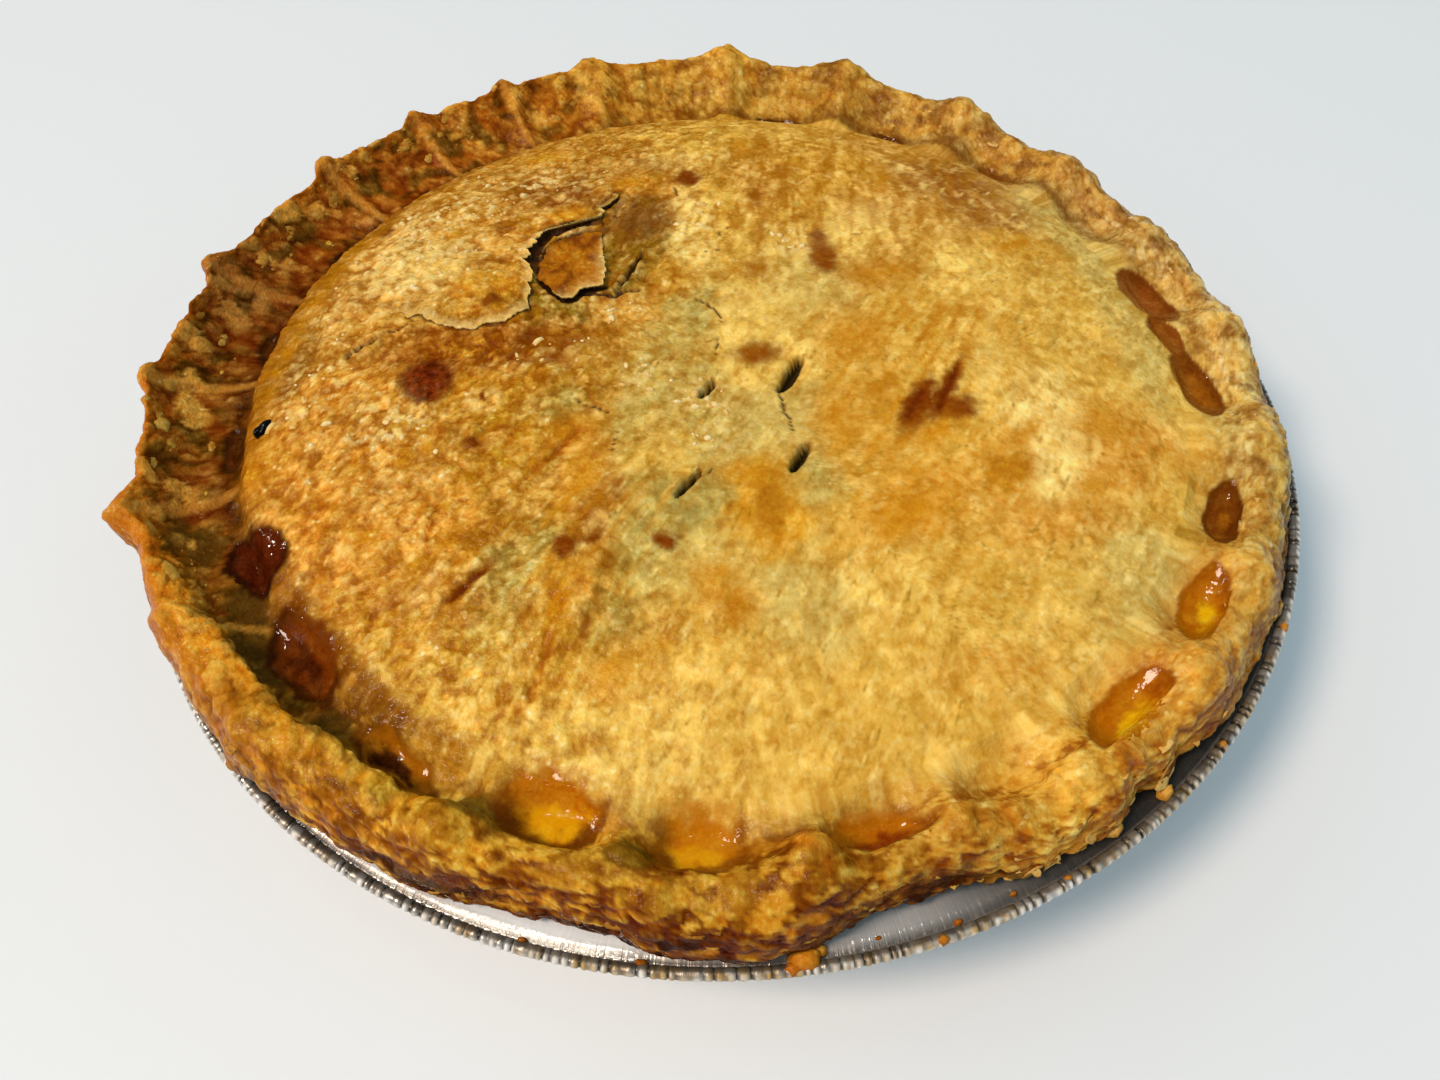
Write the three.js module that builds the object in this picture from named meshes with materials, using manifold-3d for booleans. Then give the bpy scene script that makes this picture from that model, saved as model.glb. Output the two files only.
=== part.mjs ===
// Double-crust meat pie (tourtiere) standing in its own foil tin.
// Millimetres, +Z up. The origin is the middle of the tin's underside. Angles
// run anticlockwise from +X seen from above; the front of the pie is -Y.
import * as THREE from 'three';
import { mergeVertices } from 'three/addons/utils/BufferGeometryUtils.js';
import Module from 'manifold-3d';

// ---------------------------------------------------------------- tin
const TIN_RIM_R = 122.2; // outside radius over the rolled edge
const BEAD_R = 1.1; // radius of the rolled edge's section
const BEAD_Z = 29.4; // height of its centre
const BEAD_SIDES = 8;
const FLANGE_R = 119.6; // flat flange ends here, at the rolled edge
const MOUTH_R = 111.2; // inside radius at the top of the wall
const FLOOR_R = 90.2; // flat floor
const FOIL = 0.5; // sheet thickness
const TIN_SEGMENTS = 92;

// ---------------------------------------------------------------- pie
const GAP = 0.4; // clearance between crust and tin
const TOP_Z = 51.2; // height of the domed lid at its middle
const DOME_DROP = 11.6; // fall of the lid from the middle to the valley
const DOME_POWER = 3.0; // flat on top, steeper at the shoulder
const VALLEY_R = 103.5; // ring where the lid meets the crimped rim
const HOLLOW_Z = 37.9; // floor of a thumb hollow
const SADDLE_Z = 42.6; // ridge between two hollows, at the valley
const CREST_Z = 45.9; // mean height of the rim's crest
const CREST_TILT = 4.6; // the crest stands higher on the far left
const CREST_TILT_AT = 141;
const CREST_R = 113.6; // mean radius of the crest
const CREST_R_SWAY = 3.3;
const CREST_R_SWAY_AT = 144;
const LIP_R = 119.2; // mean outside radius of the rim
const LIP_Z = 30.4; // underside of the rim, over the flange
const RIDGE_RISE = 2.2; // a pinched ridge above the mean crest
const TROUGH_DROP = 1.0; // a thumbed trough below it
const SAG = 1.3; // the lid sags a little around its vents
const SAG_AT = [4.8, -21];
const SAG_R = 17;
const DENT = { at: 287, depth: 3.0, half: 9 }; // broken stretch of the rim
// Middles of the thumb hollows, uneven as a hand presses them.
const TROUGHS = [
  14, 30, 46, 63, 80, 97, 111.5, 123, 136, 152, 170, 187, 205.2, 218.9, 237.5,
  253.3, 266.8, 283.7, 296, 309, 325, 338, 358,
];
const STEPS_PER_CRIMP = 6;
const LID_RINGS = [95, 87, 77, 63, 45, 25];
// Steam vents: middle, length, widest opening, direction.
const VENT_DEPTH = 3.2;
const VENTS = [
  { x: 14.5, y: -8.1, length: 11.5, width: 2.4, turn: 62 },
  { x: 15.2, y: -30.0, length: 9.0, width: 1.9, turn: 62 },
  { x: -6.6, y: -36.4, length: 8.5, width: 1.4, turn: 54 },
  { x: -2.6, y: -11.3, length: 6.2, width: 1.3, turn: 55 },
];

const rad = THREE.MathUtils.degToRad;
const mix = (a, b, t) => a + (b - a) * t;
const sway = (deg, at) => Math.cos(rad(deg - at));

// ------------------------------------------------------------ helpers

// Points only, shared corners joined, slivers at the axis left out.
function sealed(geometry) {
  const bare = geometry.clone();
  bare.deleteAttribute('normal');
  bare.deleteAttribute('uv');
  const g = mergeVertices(bare, 1e-3);
  const index = g.getIndex().array;
  const kept = [];
  for (let i = 0; i < index.length; i += 3) {
    const [a, b, c] = [index[i], index[i + 1], index[i + 2]];
    if (a !== b && b !== c && c !== a) kept.push(a, b, c);
  }
  g.setIndex(kept);
  return g;
}

// A revolved shape whose section changes with the angle. sectionAt(deg)
// gives [radius, height] pairs from the axis below to the axis above.
function sweptAround(angles, sectionAt) {
  const first = sectionAt(angles[0]).map(([r, z]) => new THREE.Vector2(r, z));
  const geometry = new THREE.LatheGeometry(first, angles.length);
  const at = geometry.getAttribute('position');
  for (let i = 0; i <= angles.length; i += 1) {
    const deg = angles[i % angles.length];
    sectionAt(deg).forEach(([r, z], j) => {
      const h = typeof z === 'function' ? z(r, deg) : z;
      at.setXYZ(
        i * first.length + j,
        r * Math.cos(rad(deg)),
        r * Math.sin(rad(deg)),
        h,
      );
    });
  }
  return sealed(geometry);
}

// ------------------------------------------------------------ foil tin
function tinSection() {
  const bead = [];
  const centre = TIN_RIM_R - BEAD_R;
  for (let k = 0; k < BEAD_SIDES; k += 1) {
    const a = rad(-125 + (k * 290) / (BEAD_SIDES - 1));
    bead.push([centre + BEAD_R * Math.cos(a), BEAD_Z + BEAD_R * Math.sin(a)]);
  }
  return [
    [0, 0],
    [FLOOR_R, 0],
    [FLOOR_R + 2.2, 1.3],
    [MOUTH_R + 0.1, 28.3],
    [MOUTH_R + 0.9, 28.8],
    [FLANGE_R + 0.1, 29.0],
    ...bead,
    [FLANGE_R, 29.0 + FOIL + 0.1],
    [MOUTH_R + 0.8, 28.8 + FOIL],
    [MOUTH_R - 0.4, 28.3 + FOIL * 0.6],
    [FLOOR_R + 1.8, 1.3 + FOIL * 0.8],
    [FLOOR_R - 0.2, FOIL],
    [0, FOIL],
  ];
}

const tinAngles = Array.from(
  { length: TIN_SEGMENTS },
  (_, i) => (i * 360) / TIN_SEGMENTS,
);
const tinProfile = tinSection();
const tinGeometry = sweptAround(tinAngles, () => tinProfile);

// ------------------------------------------------------------ the pie

// Every crimp is divided alike, so rows of corners fall on troughs and ridges.
function crimpAngles() {
  const all = [];
  TROUGHS.forEach((start, i) => {
    const next = TROUGHS[(i + 1) % TROUGHS.length] + (i + 1 === TROUGHS.length ? 360 : 0);
    for (let k = 0; k < STEPS_PER_CRIMP; k += 1) {
      all.push(mix(start, next, k / STEPS_PER_CRIMP));
    }
  });
  return all;
}

// 0 in the middle of a thumb hollow, 1 on the pinched ridge between two.
function ridge(deg) {
  const n = TROUGHS.length;
  for (let i = 0; i < n; i += 1) {
    const start = TROUGHS[i];
    const next = TROUGHS[(i + 1) % n] + (i + 1 === n ? 360 : 0);
    let d = deg;
    if (d < start) d += 360;
    if (d >= start && d < next) {
      const u = (d - start) / (next - start);
      return 0.5 - 0.5 * Math.cos(2 * Math.PI * u);
    }
  }
  return 0;
}

// Height of the lid at a radius and angle.
function lid(r, deg) {
  const x = r * Math.cos(rad(deg));
  const y = r * Math.sin(rad(deg));
  const d2 = (x - SAG_AT[0]) ** 2 + (y - SAG_AT[1]) ** 2;
  const sag = SAG * Math.exp(-d2 / (2 * SAG_R * SAG_R));
  return TOP_Z - DOME_DROP * (r / VALLEY_R) ** DOME_POWER - sag;
}

function pieSection(deg) {
  const w = ridge(deg);
  const far = 0.5 + 0.5 * sway(deg, CREST_TILT_AT); // pinched higher at far left
  const crestZ =
    CREST_Z + CREST_TILT * sway(deg, CREST_TILT_AT) + mix(-TROUGH_DROP, RIDGE_RISE, w);
  const turned = ((deg - DENT.at + 540) % 360) - 180;
  const dent = DENT.depth * Math.exp(-((turned / DENT.half) ** 2));
  const crestR =
    CREST_R + CREST_R_SWAY * sway(deg, CREST_R_SWAY_AT) + 0.8 * w - 0.5 * dent;
  const lipR = LIP_R + mix(-0.4, 0.9, w) * mix(0.5, 1, far) - dent;
  const valleyZ = mix(HOLLOW_Z, SADDLE_Z, w);
  return [
    [0, FOIL + GAP],
    [FLOOR_R - 0.4, FOIL + GAP],
    [FLOOR_R + 1.4, 2.1],
    [MOUTH_R - 1.0, 29.0],
    [MOUTH_R + 0.5, LIP_Z - 0.5],
    [lipR - 3.0, LIP_Z - 0.2],
    [lipR - 0.7, LIP_Z + 0.7],
    [lipR, LIP_Z + 3.2],
    [lipR - 0.5, mix(LIP_Z + 3.2, crestZ, 0.55)],
    [mix(lipR, crestR, 0.42), crestZ - 1.3],
    [crestR, crestZ],
    [crestR - 2.6, mix(crestZ, valleyZ, 0.22)],
    [mix(VALLEY_R, crestR - 2.6, 0.5), mix(valleyZ, crestZ, 0.32)],
    [VALLEY_R, valleyZ],
    [VALLEY_R - 4.0, mix(valleyZ, lid(VALLEY_R - 4.0, deg), 0.55)],
    ...LID_RINGS.map((r) => [r, lid]),
    [0, lid(0, deg)],
  ];
}

const wholePie = sweptAround(crimpAngles(), pieSection);

// A vent is a slit pointed at both ends, cut straight down into the lid.
function ventCutter({ x, y, length, width, turn }) {
  const outline = new THREE.Shape();
  outline.moveTo(-length / 2, 0);
  outline.quadraticCurveTo(0, -width, length / 2, 0);
  outline.quadraticCurveTo(0, width, -length / 2, 0);
  const cutter = new THREE.ExtrudeGeometry(outline, {
    depth: 20,
    bevelEnabled: false,
    curveSegments: 4,
  });
  const deg = THREE.MathUtils.radToDeg(Math.atan2(y, x));
  cutter.rotateZ(rad(turn));
  cutter.translate(x, y, lid(Math.hypot(x, y), deg) - VENT_DEPTH);
  return sealed(cutter);
}

const wasm = await Module();
wasm.setup();

function solid(geometry) {
  return new wasm.Manifold(
    new wasm.Mesh({
      numProp: 3,
      vertProperties: Float32Array.from(geometry.getAttribute('position').array),
      triVerts: Uint32Array.from(geometry.getIndex().array),
    }),
  );
}

let cut = solid(wholePie);
for (const vent of VENTS) cut = cut.subtract(solid(ventCutter(vent)));
const cutMesh = cut.getMesh();
const pieGeometry = new THREE.BufferGeometry();
pieGeometry.setAttribute(
  'position',
  new THREE.BufferAttribute(Float32Array.from(cutMesh.vertProperties), 3),
);
pieGeometry.setIndex(Array.from(cutMesh.triVerts));
pieGeometry.computeVertexNormals();
tinGeometry.computeVertexNormals();

// ------------------------------------------------------------ scene graph
const pie = new THREE.Mesh(
  pieGeometry,
  new THREE.MeshStandardMaterial({ color: 0xcf9a49, roughness: 0.6, metalness: 0 }),
);
pie.name = 'pie';

const tin = new THREE.Mesh(
  tinGeometry,
  new THREE.MeshStandardMaterial({ color: 0xc8c8c4, roughness: 0.32, metalness: 1 }),
);
tin.name = 'foil_tin';

const tourtiere = new THREE.Group();
tourtiere.name = 'tourtiere';
tourtiere.add(tin, pie);

export default tourtiere;
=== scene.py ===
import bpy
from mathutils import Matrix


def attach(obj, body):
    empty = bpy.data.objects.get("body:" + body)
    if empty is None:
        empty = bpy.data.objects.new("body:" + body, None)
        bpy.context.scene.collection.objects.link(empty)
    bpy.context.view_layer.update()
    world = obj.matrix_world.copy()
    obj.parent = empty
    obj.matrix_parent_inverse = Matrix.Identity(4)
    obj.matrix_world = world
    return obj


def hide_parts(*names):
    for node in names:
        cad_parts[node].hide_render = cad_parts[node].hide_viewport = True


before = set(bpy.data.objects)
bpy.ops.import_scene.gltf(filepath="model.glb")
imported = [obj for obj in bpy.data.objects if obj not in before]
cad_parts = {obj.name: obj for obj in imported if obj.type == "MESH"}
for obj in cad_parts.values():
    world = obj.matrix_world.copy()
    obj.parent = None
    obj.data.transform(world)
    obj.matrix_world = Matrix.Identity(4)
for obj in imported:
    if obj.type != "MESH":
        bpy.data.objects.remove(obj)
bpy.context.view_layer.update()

import math

import bpy
import numpy as np
from mathutils import Matrix, Vector
from mathutils.bvhtree import BVHTree

# A double-crust meat pie in its own foil tin. Everything below is worked out in
# millimetres in the frame's own axes (+Z up, -Y nearest the viewer) and turned
# into metres when a mesh is made.

MM = 0.001
scene = bpy.context.scene


# ------------------------------------------------------------------ noise
class Gradient:
    """Smooth random field in three dimensions, about -1 to 1."""

    def __init__(self, seed):
        rng = np.random.default_rng(seed)
        table = rng.permutation(256)
        self.perm = np.concatenate([table, table, table[:2]])
        v = rng.normal(size=(256, 3))
        self.grad = v / np.linalg.norm(v, axis=1, keepdims=True)
        self.jit = rng.random((256, 3))

    def _hash(self, i, j, k):
        p = self.perm
        return p[p[p[i & 255] + (j & 255)] + (k & 255)]

    def __call__(self, p):
        i = np.floor(p).astype(np.int64)
        f = p - i
        u = f * f * f * (f * (f * 6 - 15) + 10)
        out = np.zeros(len(p))
        for dx in (0, 1):
            wx = u[:, 0] if dx else 1 - u[:, 0]
            for dy in (0, 1):
                wy = u[:, 1] if dy else 1 - u[:, 1]
                for dz in (0, 1):
                    wz = u[:, 2] if dz else 1 - u[:, 2]
                    g = self.grad[self._hash(i[:, 0] + dx, i[:, 1] + dy, i[:, 2] + dz)]
                    dot = (
                        g[:, 0] * (f[:, 0] - dx)
                        + g[:, 1] * (f[:, 1] - dy)
                        + g[:, 2] * (f[:, 2] - dz)
                    )
                    out += wx * wy * wz * dot
        return out * 1.55

    def cells(self, p):
        """Distance to the nearest scattered point, to the second, and its number."""
        i = np.floor(p).astype(np.int64)
        d1 = np.full(len(p), 9.0)
        d2 = np.full(len(p), 9.0)
        who = np.zeros(len(p))
        for dx in (-1, 0, 1):
            for dy in (-1, 0, 1):
                for dz in (-1, 0, 1):
                    c = i + np.array([dx, dy, dz])
                    h = self._hash(c[:, 0], c[:, 1], c[:, 2])
                    d = np.linalg.norm(c + self.jit[h] - p, axis=1)
                    near = d < d1
                    d2 = np.where(near, d1, np.minimum(d2, d))
                    who = np.where(near, h / 255.0, who)
                    d1 = np.where(near, d, d1)
        return d1, d2, who


FIELDS = [Gradient(1000 + k) for k in range(12)]


def fbm(p, which=0, octaves=4, gain=0.5):
    out, amp, norm = np.zeros(len(p)), 1.0, 0.0
    for o in range(octaves):
        out += amp * FIELDS[(which + o) % len(FIELDS)](p * 2.03**o + 17.3 * o)
        norm += amp
        amp *= gain
    return out / norm


def warp(p, size, amount, which):
    """Points pushed about, so that regular patterns turn irregular."""
    q = p / size
    n = len(FIELDS)
    d = [FIELDS[(which + k) % n](q + 31.7 * k) for k in range(3)]
    return p + amount * np.stack(d, 1)


def cobble(p, size, which):
    """Uneven lumps: height 0 to 1, the crease between two of them 0 to 1, and a number for each."""
    d1, d2, who = FIELDS[which].cells(warp(p, size * 1.2, 0.6 * size, which + 3) / size)
    return np.clip(1 - (d1 / 0.8) ** 2, 0, 1), 1 - smooth(0.02, 0.24, d2 - d1), who


def smooth(a, b, t):
    u = np.clip((t - a) / (b - a), 0, 1)
    return u * u * (3 - 2 * u)


def mix(a, b, t):
    return a + (b - a) * t


def srgb(*c):
    """A colour as seen on screen, 0 to 255, as linear light."""
    v = np.array(c, float) / 255
    return np.where(v <= 0.04045, v / 12.92, ((v + 0.055) / 1.055) ** 2.4)


# ------------------------------------------------------------------ sizes
TOP_Z = 51.2
DOME_DROP = 11.6
VALLEY_R = 103.5
HOLLOW_Z = 37.9
SADDLE_Z = 42.4
LIP_Z = 30.35
SEAM_R = 97.0
VENTS = [
    (14.5, -8.1, 11.5, 2.5, 62),
    (15.2, -30.0, 9.0, 2.0, 62),
    (-6.6, -36.4, 8.5, 1.4, 54),
    (-2.6, -11.3, 6.2, 1.3, 55),
]
# thumb hollows and the pinched ridges between them, in degrees
TROUGHS = [14, 30, 46, 63, 80, 97, 111.5, 123, 136, 152, 170, 187, 205.2, 218.9,
           237.5, 253.3, 266.8, 283.7, 296, 309, 325, 338, 358]
RIDGES = [22, 38, 54.5, 71.5, 87.5, 105.9, 117.1, 129.4, 142.6, 161.9, 178.2, 196,
          212, 228.5, 245, 260, 276, 290, 303, 317, 331, 348, 366]
KNOTS = np.array(sorted(TROUGHS + RIDGES), float)
KNOT_IS_RIDGE = np.array([1.0 if a in RIDGES else 0.0 for a in KNOTS])
KNOTS3 = np.concatenate([KNOTS - 360, KNOTS, KNOTS + 360])
KNOTV3 = np.tile(KNOT_IS_RIDGE, 3)
RIDGE_SIZE = {a % 360: 0.75 + 0.5 * ((i * 0.618034) % 1.0) for i, a in enumerate(RIDGES)}


def stronger(col, x, y, amount, cell=9.0):
    """Mottling made stronger: each place moves away from the mean brightness around it."""
    lum = col @ np.array([0.30, 0.60, 0.10])
    gx, gy = (x + 130) / cell, (y + 130) / cell
    n = int(260 / cell) + 3
    total, count = np.zeros((n, n)), np.zeros((n, n))
    spot = (np.round(gx).astype(int), np.round(gy).astype(int))
    np.add.at(total, spot, lum)
    np.add.at(count, spot, 1)
    steps = [(i, j) for i in (-1, 0, 1) for j in (-1, 0, 1)]
    total = sum(np.roll(total, k, (0, 1)) for k in steps)
    count = sum(np.roll(count, k, (0, 1)) for k in steps)
    grid = np.where(count > 0, total / np.maximum(count, 1), lum.mean())
    x0, y0 = np.floor(gx).astype(int), np.floor(gy).astype(int)
    fx, fy = gx - x0, gy - y0
    mean = (grid[x0, y0] * (1 - fx) + grid[x0 + 1, y0] * fx) * (1 - fy) + (grid[x0, y0 + 1] * (1 - fx) + grid[x0 + 1, y0 + 1] * fx) * fy
    ratio = np.clip(lum / np.maximum(mean, 1e-4), 0.3, 2.0)
    return col * (ratio ** (amount * smooth(0.35, 0.70, ratio)))[:, None]


def around(deg, table):
    """Smooth closed curve through {degrees: value}."""
    a = np.array(sorted(table), float)
    v = np.array([table[k] for k in sorted(table)], float)
    a = np.concatenate([a - 360, a, a + 360])
    v = np.tile(v, 3)
    d = np.mod(deg, 360)
    i = np.clip(np.searchsorted(a, d, side="right") - 1, 1, len(a) - 3)
    h = a[i + 1] - a[i]
    t = (d - a[i]) / h
    m0 = (v[i + 1] - v[i - 1]) / (a[i + 1] - a[i - 1]) * h
    m1 = (v[i + 2] - v[i]) / (a[i + 2] - a[i]) * h
    t2, t3 = t * t, t * t * t
    return ((2 * t3 - 3 * t2 + 1) * v[i] + (t3 - 2 * t2 + t) * m0
            + (-2 * t3 + 3 * t2) * v[i + 1] + (t3 - t2) * m1)


def ridge(deg):
    """0 in the middle of a thumb hollow, 1 on a pinched ridge."""
    d = np.mod(deg, 360)
    i = np.searchsorted(KNOTS3, d, side="right") - 1
    u = (d - KNOTS3[i]) / (KNOTS3[i + 1] - KNOTS3[i])
    return mix(KNOTV3[i], KNOTV3[i + 1], 0.5 - 0.5 * np.cos(np.pi * u))


def turn_gap(deg, at):
    return np.mod(deg - at + 180, 360) - 180


CREST_Z = {0: 41.6, 30: 42.6, 60: 46.2, 90: 49.6, 120: 49.8, 150: 49.2, 180: 48.6, 210: 46.6,
           240: 45, 260: 44, 270: 44, 281: 43.4, 288: 42.2, 300: 41.8, 315: 41.5, 335: 41.4}
CREST_R = {0: 111.5, 30: 112, 60: 113.4, 90: 116, 120: 117.2, 150: 117.8, 180: 118.2, 210: 116.0,
           240: 112.4, 260: 111, 270: 111, 281: 109.6, 288: 109.0, 300: 110, 315: 110.4, 335: 111}
LIP_R = {0: 119.4, 30: 119.2, 60: 118.8, 90: 119, 120: 119, 150: 119.4, 180: 120.2, 200: 120.4, 215: 120.4, 231: 119.8,
         242: 118.6, 247: 118.0, 252: 117.4, 255: 116.7, 258: 116.5, 261: 117.4, 264: 119.2, 268: 120.3, 272: 119.9, 277: 117.8, 280: 115.8, 285: 114.9,
         289: 114.7, 292.6: 116.2, 295.5: 118.2, 299: 117.8, 303: 118.2, 306: 116.6, 309: 118.4, 312: 117.4,
         316: 118.4, 320: 118.8, 333: 119.2, 345: 119.4}
PINCH = {0: 0.25, 60: 0.5, 90: 0.75, 120: 1.0, 150: 1.0, 180: 1.0, 205: 1.0, 230: 0.75,
         260: 0.5, 290: 0.35, 330: 0.2}
FAR_LEFT = {0: 0, 40: 0, 75: 0.12, 100: 0.45, 120: 0.85, 140: 1, 200: 1, 216: 0.8, 232: 0.35, 250: 0.05, 300: 0}
DOME_POWER = {0: 2.7, 60: 3.2, 100: 4.4, 140: 5.6, 185: 5.6, 215: 4.2, 245: 3.2, 315: 2.7}
DOME_FALL = {0: 11.6, 60: 11.4, 120: 10.6, 185: 10.4, 225: 11.2, 300: 11.6}
SLANT = {0: 0.0, 60: 0.0, 120: 0.05, 170: 0.15, 192: 0.22, 202: 0.0, 212: -0.28, 228: -0.5, 245: -0.3, 265: 0.0, 320: 0.0}
# how far a pinched ridge sticks out at the edge, in millimetres
SPIKES = {196: 5.4, 178.2: 2.2, 161.9: 3.0, 142.6: 2.6, 129.4: 1.5, 117.1: 1.2, 105.9: 1.6, 87.5: 2.0, 71.5: 1.4,
          212: 1.2, 228.5: 1.0, 54.5: 0.8}


# egg wash that ran together in the hollows: angle, radius, half length around, half width outwards, turn
# from the rim's own direction, colour where it is deep, colour of the film, colour at the rim, how far it
# fades out over the lid
POOLS = [
    (13.5, 100.2, 9.6, 5.8, 4.5, (152, 84, 30), (140, 72, 16), (112, 52, 8), 0.0), (5.4, 98.6, 6.8, 2.9, 10, (150, 84, 24), (140, 74, 16), (124, 62, 12), 0.0),
    (357.6, 101.4, 9.6, 5.0, 12, (166, 98, 20), (138, 74, 10), (110, 52, 6), 0.0), (338, 104.7, 8.8, 3.4, -1, (150, 86, 12), (118, 60, 8), (96, 44, 4), 0.0),
    (325, 106.6, 9.0, 4.4, 6, (226, 168, 8), (176, 100, 6), (140, 70, 4), 0.0), (309.6, 107.2, 10.4, 5.2, 4, (228, 172, 10), (180, 102, 6), (142, 70, 4), 0.0),
    (282.8, 105.6, 9.0, 4.0, -4, (128, 50, 4), (184, 106, 8), (120, 56, 5), 0.7), (266.9, 104.2, 8.4, 5.6, 0, (216, 148, 10), (196, 118, 12), (116, 58, 6), 0.9),
    (252.8, 102.0, 9.4, 6.4, 4, (226, 158, 8), (190, 108, 8), (90, 38, 4), 0.9), (236.6, 104.4, 9.4, 3.4, -8, (66, 28, 4), (164, 94, 8), (56, 24, 4), 0.45),
    (220.4, 100.8, 10.4, 5.2, -3, (72, 28, 4), (118, 52, 6), (44, 18, 4), 0.4), (205.8, 99.8, 8.2, 6.0, 20, (70, 22, 4), (86, 28, 4), (40, 14, 4), 0.2),
    (187, 102.6, 5.6, 2.5, 0, (88, 42, 8), (70, 34, 6), (60, 28, 6), 0.4), (170, 102.6, 5.4, 2.3, 0, (78, 36, 6), (64, 30, 6), (56, 26, 6), 0.4),
    (152, 102.6, 5.0, 2.4, 0, (66, 30, 8), (56, 27, 6), (50, 24, 6), 0.4), (136, 102.4, 7.2, 1.9, 0, (104, 50, 8), (88, 42, 6), (70, 32, 6), 0.4),
    (123, 102.6, 6.6, 2.0, 0, (100, 48, 8), (88, 42, 6), (70, 32, 6), 0.4), (80, 103.2, 6.2, 1.9, 0, (74, 34, 6), (88, 46, 8), (74, 38, 6), 0.4),
    (63, 103.4, 4.6, 1.7, 0, (90, 44, 8), (108, 58, 12), (90, 46, 8), 0.4), (46, 103.4, 4.8, 1.5, 0, (124, 70, 20), (140, 84, 26), (120, 70, 20), 0.4),
]


def pool_axes(deg, turn):
    """Directions around and outwards for a pool."""
    t = math.radians(deg + 90 + turn)
    return (math.cos(t), math.sin(t)), (math.sin(t), -math.cos(t))


def pool_stain(x, y):
    """Reach of the nearest pool (1 at its edge), the colour it gives the crust, and how much of it."""
    p = np.stack([x, y, np.zeros_like(x)], 1)
    low, tiny = FIELDS[6](p / 2.4), FIELDS[8](p / 0.9)
    wx = 1.7 * FIELDS[1](p / 5.0) + 0.3 * FIELDS[2](p / 1.8)
    wy = 1.7 * FIELDS[3](p / 5.0) + 0.3 * FIELDS[4](p / 1.8)
    best = np.full(len(x), 9.0)
    col, damp = np.zeros((len(x), 3)), np.zeros(len(x))
    for deg, r, half_t, half_r, turn, core, film, edge, fade in POOLS:
        (ux, uy), (vx, vy) = pool_axes(deg, turn)
        loose = 1.0 if fade > 0 else 0.4
        dx, dy = x + loose * wx - r * math.cos(math.radians(deg)), y + loose * wy - r * math.sin(math.radians(deg))
        u, v = (dx * ux + dy * uy) / half_t, (dx * vx + dy * vy) / half_r
        f = np.hypot(u, v)
        near = f < best
        # deepest a little towards the rim; a thin film up the lid; dark where it meets the rim
        deep = np.hypot(u * 1.05, (v - 0.16) / 0.66)
        c = mix(srgb(*core)[None], srgb(*film)[None], smooth(mix(0.08, 0.30, float(fade > 0)), mix(0.66, 0.86, float(fade > 0)), deep + 0.34 * low + 0.14 * tiny)[:, None])
        rimward = smooth(-0.25, 0.45, v + 0.2 * low + 0.15 * np.abs(u))
        inset = 0.12 if fade > 0.8 else 0.0
        dark = smooth(0.56 - inset, 0.90 - inset, f + 0.22 * low + 0.10 * tiny) * mix(np.maximum(rimward, 0.75 * smooth(0.45, 0.85, np.abs(u))), 1.0, 0.28 * (1 - fade))
        c = mix(c, srgb(*edge)[None], (0.9 * dark)[:, None])
        lidward = fade * smooth(0.15, -0.5, v)
        f2 = np.hypot(u, np.where(v < 0, v / (1 + 0.15 * fade), v))
        reach = smooth(mix(1.08, 1.30, lidward), mix(0.95, 0.60, lidward), f2 + 0.04 * tiny + 0.40 * lidward * low)
        col = np.where(near[:, None], c, col)
        damp = np.where(near, reach, damp)
        best = np.where(near, f, best)
    return best, col, damp


# ------------------------------------------------------------------ the lid
def wander(x, y, big, small, which=3):
    """A point nudged about, for ragged edges."""
    p = np.stack([x, y, np.zeros_like(x)], 1)
    dx = big * FIELDS[which](p / 2.6) + small * FIELDS[which + 1](p / 0.9)
    dy = big * FIELDS[which + 2](p / 2.6) + small * FIELDS[which + 3](p / 0.9)
    return x + dx, y + dy


def along(x, y, path):
    """Distance to a path, which side (+1 left of its direction), and how far along it."""
    pts = np.array(path, float)
    best = np.full(len(x), 1e9)
    side = np.ones(len(x))
    far = np.zeros(len(x))
    seg = np.diff(pts, axis=0)
    length = np.linalg.norm(seg, axis=1)
    start = np.concatenate([[0], np.cumsum(length)])
    for k in range(len(seg)):
        t = np.clip(((x - pts[k, 0]) * seg[k, 0] + (y - pts[k, 1]) * seg[k, 1]) / length[k] ** 2, 0, 1)
        dx, dy = x - pts[k, 0] - t * seg[k, 0], y - pts[k, 1] - t * seg[k, 1]
        d = np.hypot(dx, dy)
        near = d < best
        best = np.where(near, d, best)
        side = np.where(near, np.sign(seg[k, 0] * dy - seg[k, 1] * dx), side)
        far = np.where(near, (start[k] + t * length[k]) / start[-1], far)
    return best, side, far


def inside(x, y, path):
    pts = np.array(path, float)
    out = np.zeros(len(x), bool)
    j = len(pts) - 1
    for i in range(len(pts)):
        cross = ((pts[i, 1] > y) != (pts[j, 1] > y)) & (
            x < (pts[j, 0] - pts[i, 0]) * (y - pts[i, 1]) / (pts[j, 1] - pts[i, 1] + 1e-12) + pts[i, 0])
        out ^= cross
        j = i
    return out


def blot(x, y, cx, cy, rx, ry, deg=0.0, hard=1.0):
    """A soft oval, 1 in the middle. hard above 1 gives a flatter middle and a crisper edge."""
    c, s = math.cos(math.radians(deg)), math.sin(math.radians(deg))
    u, v = (x - cx) * c + (y - cy) * s, -(x - cx) * s + (y - cy) * c
    return np.exp(-(((u / rx) ** 2 + (v / ry) ** 2) ** hard))


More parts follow.
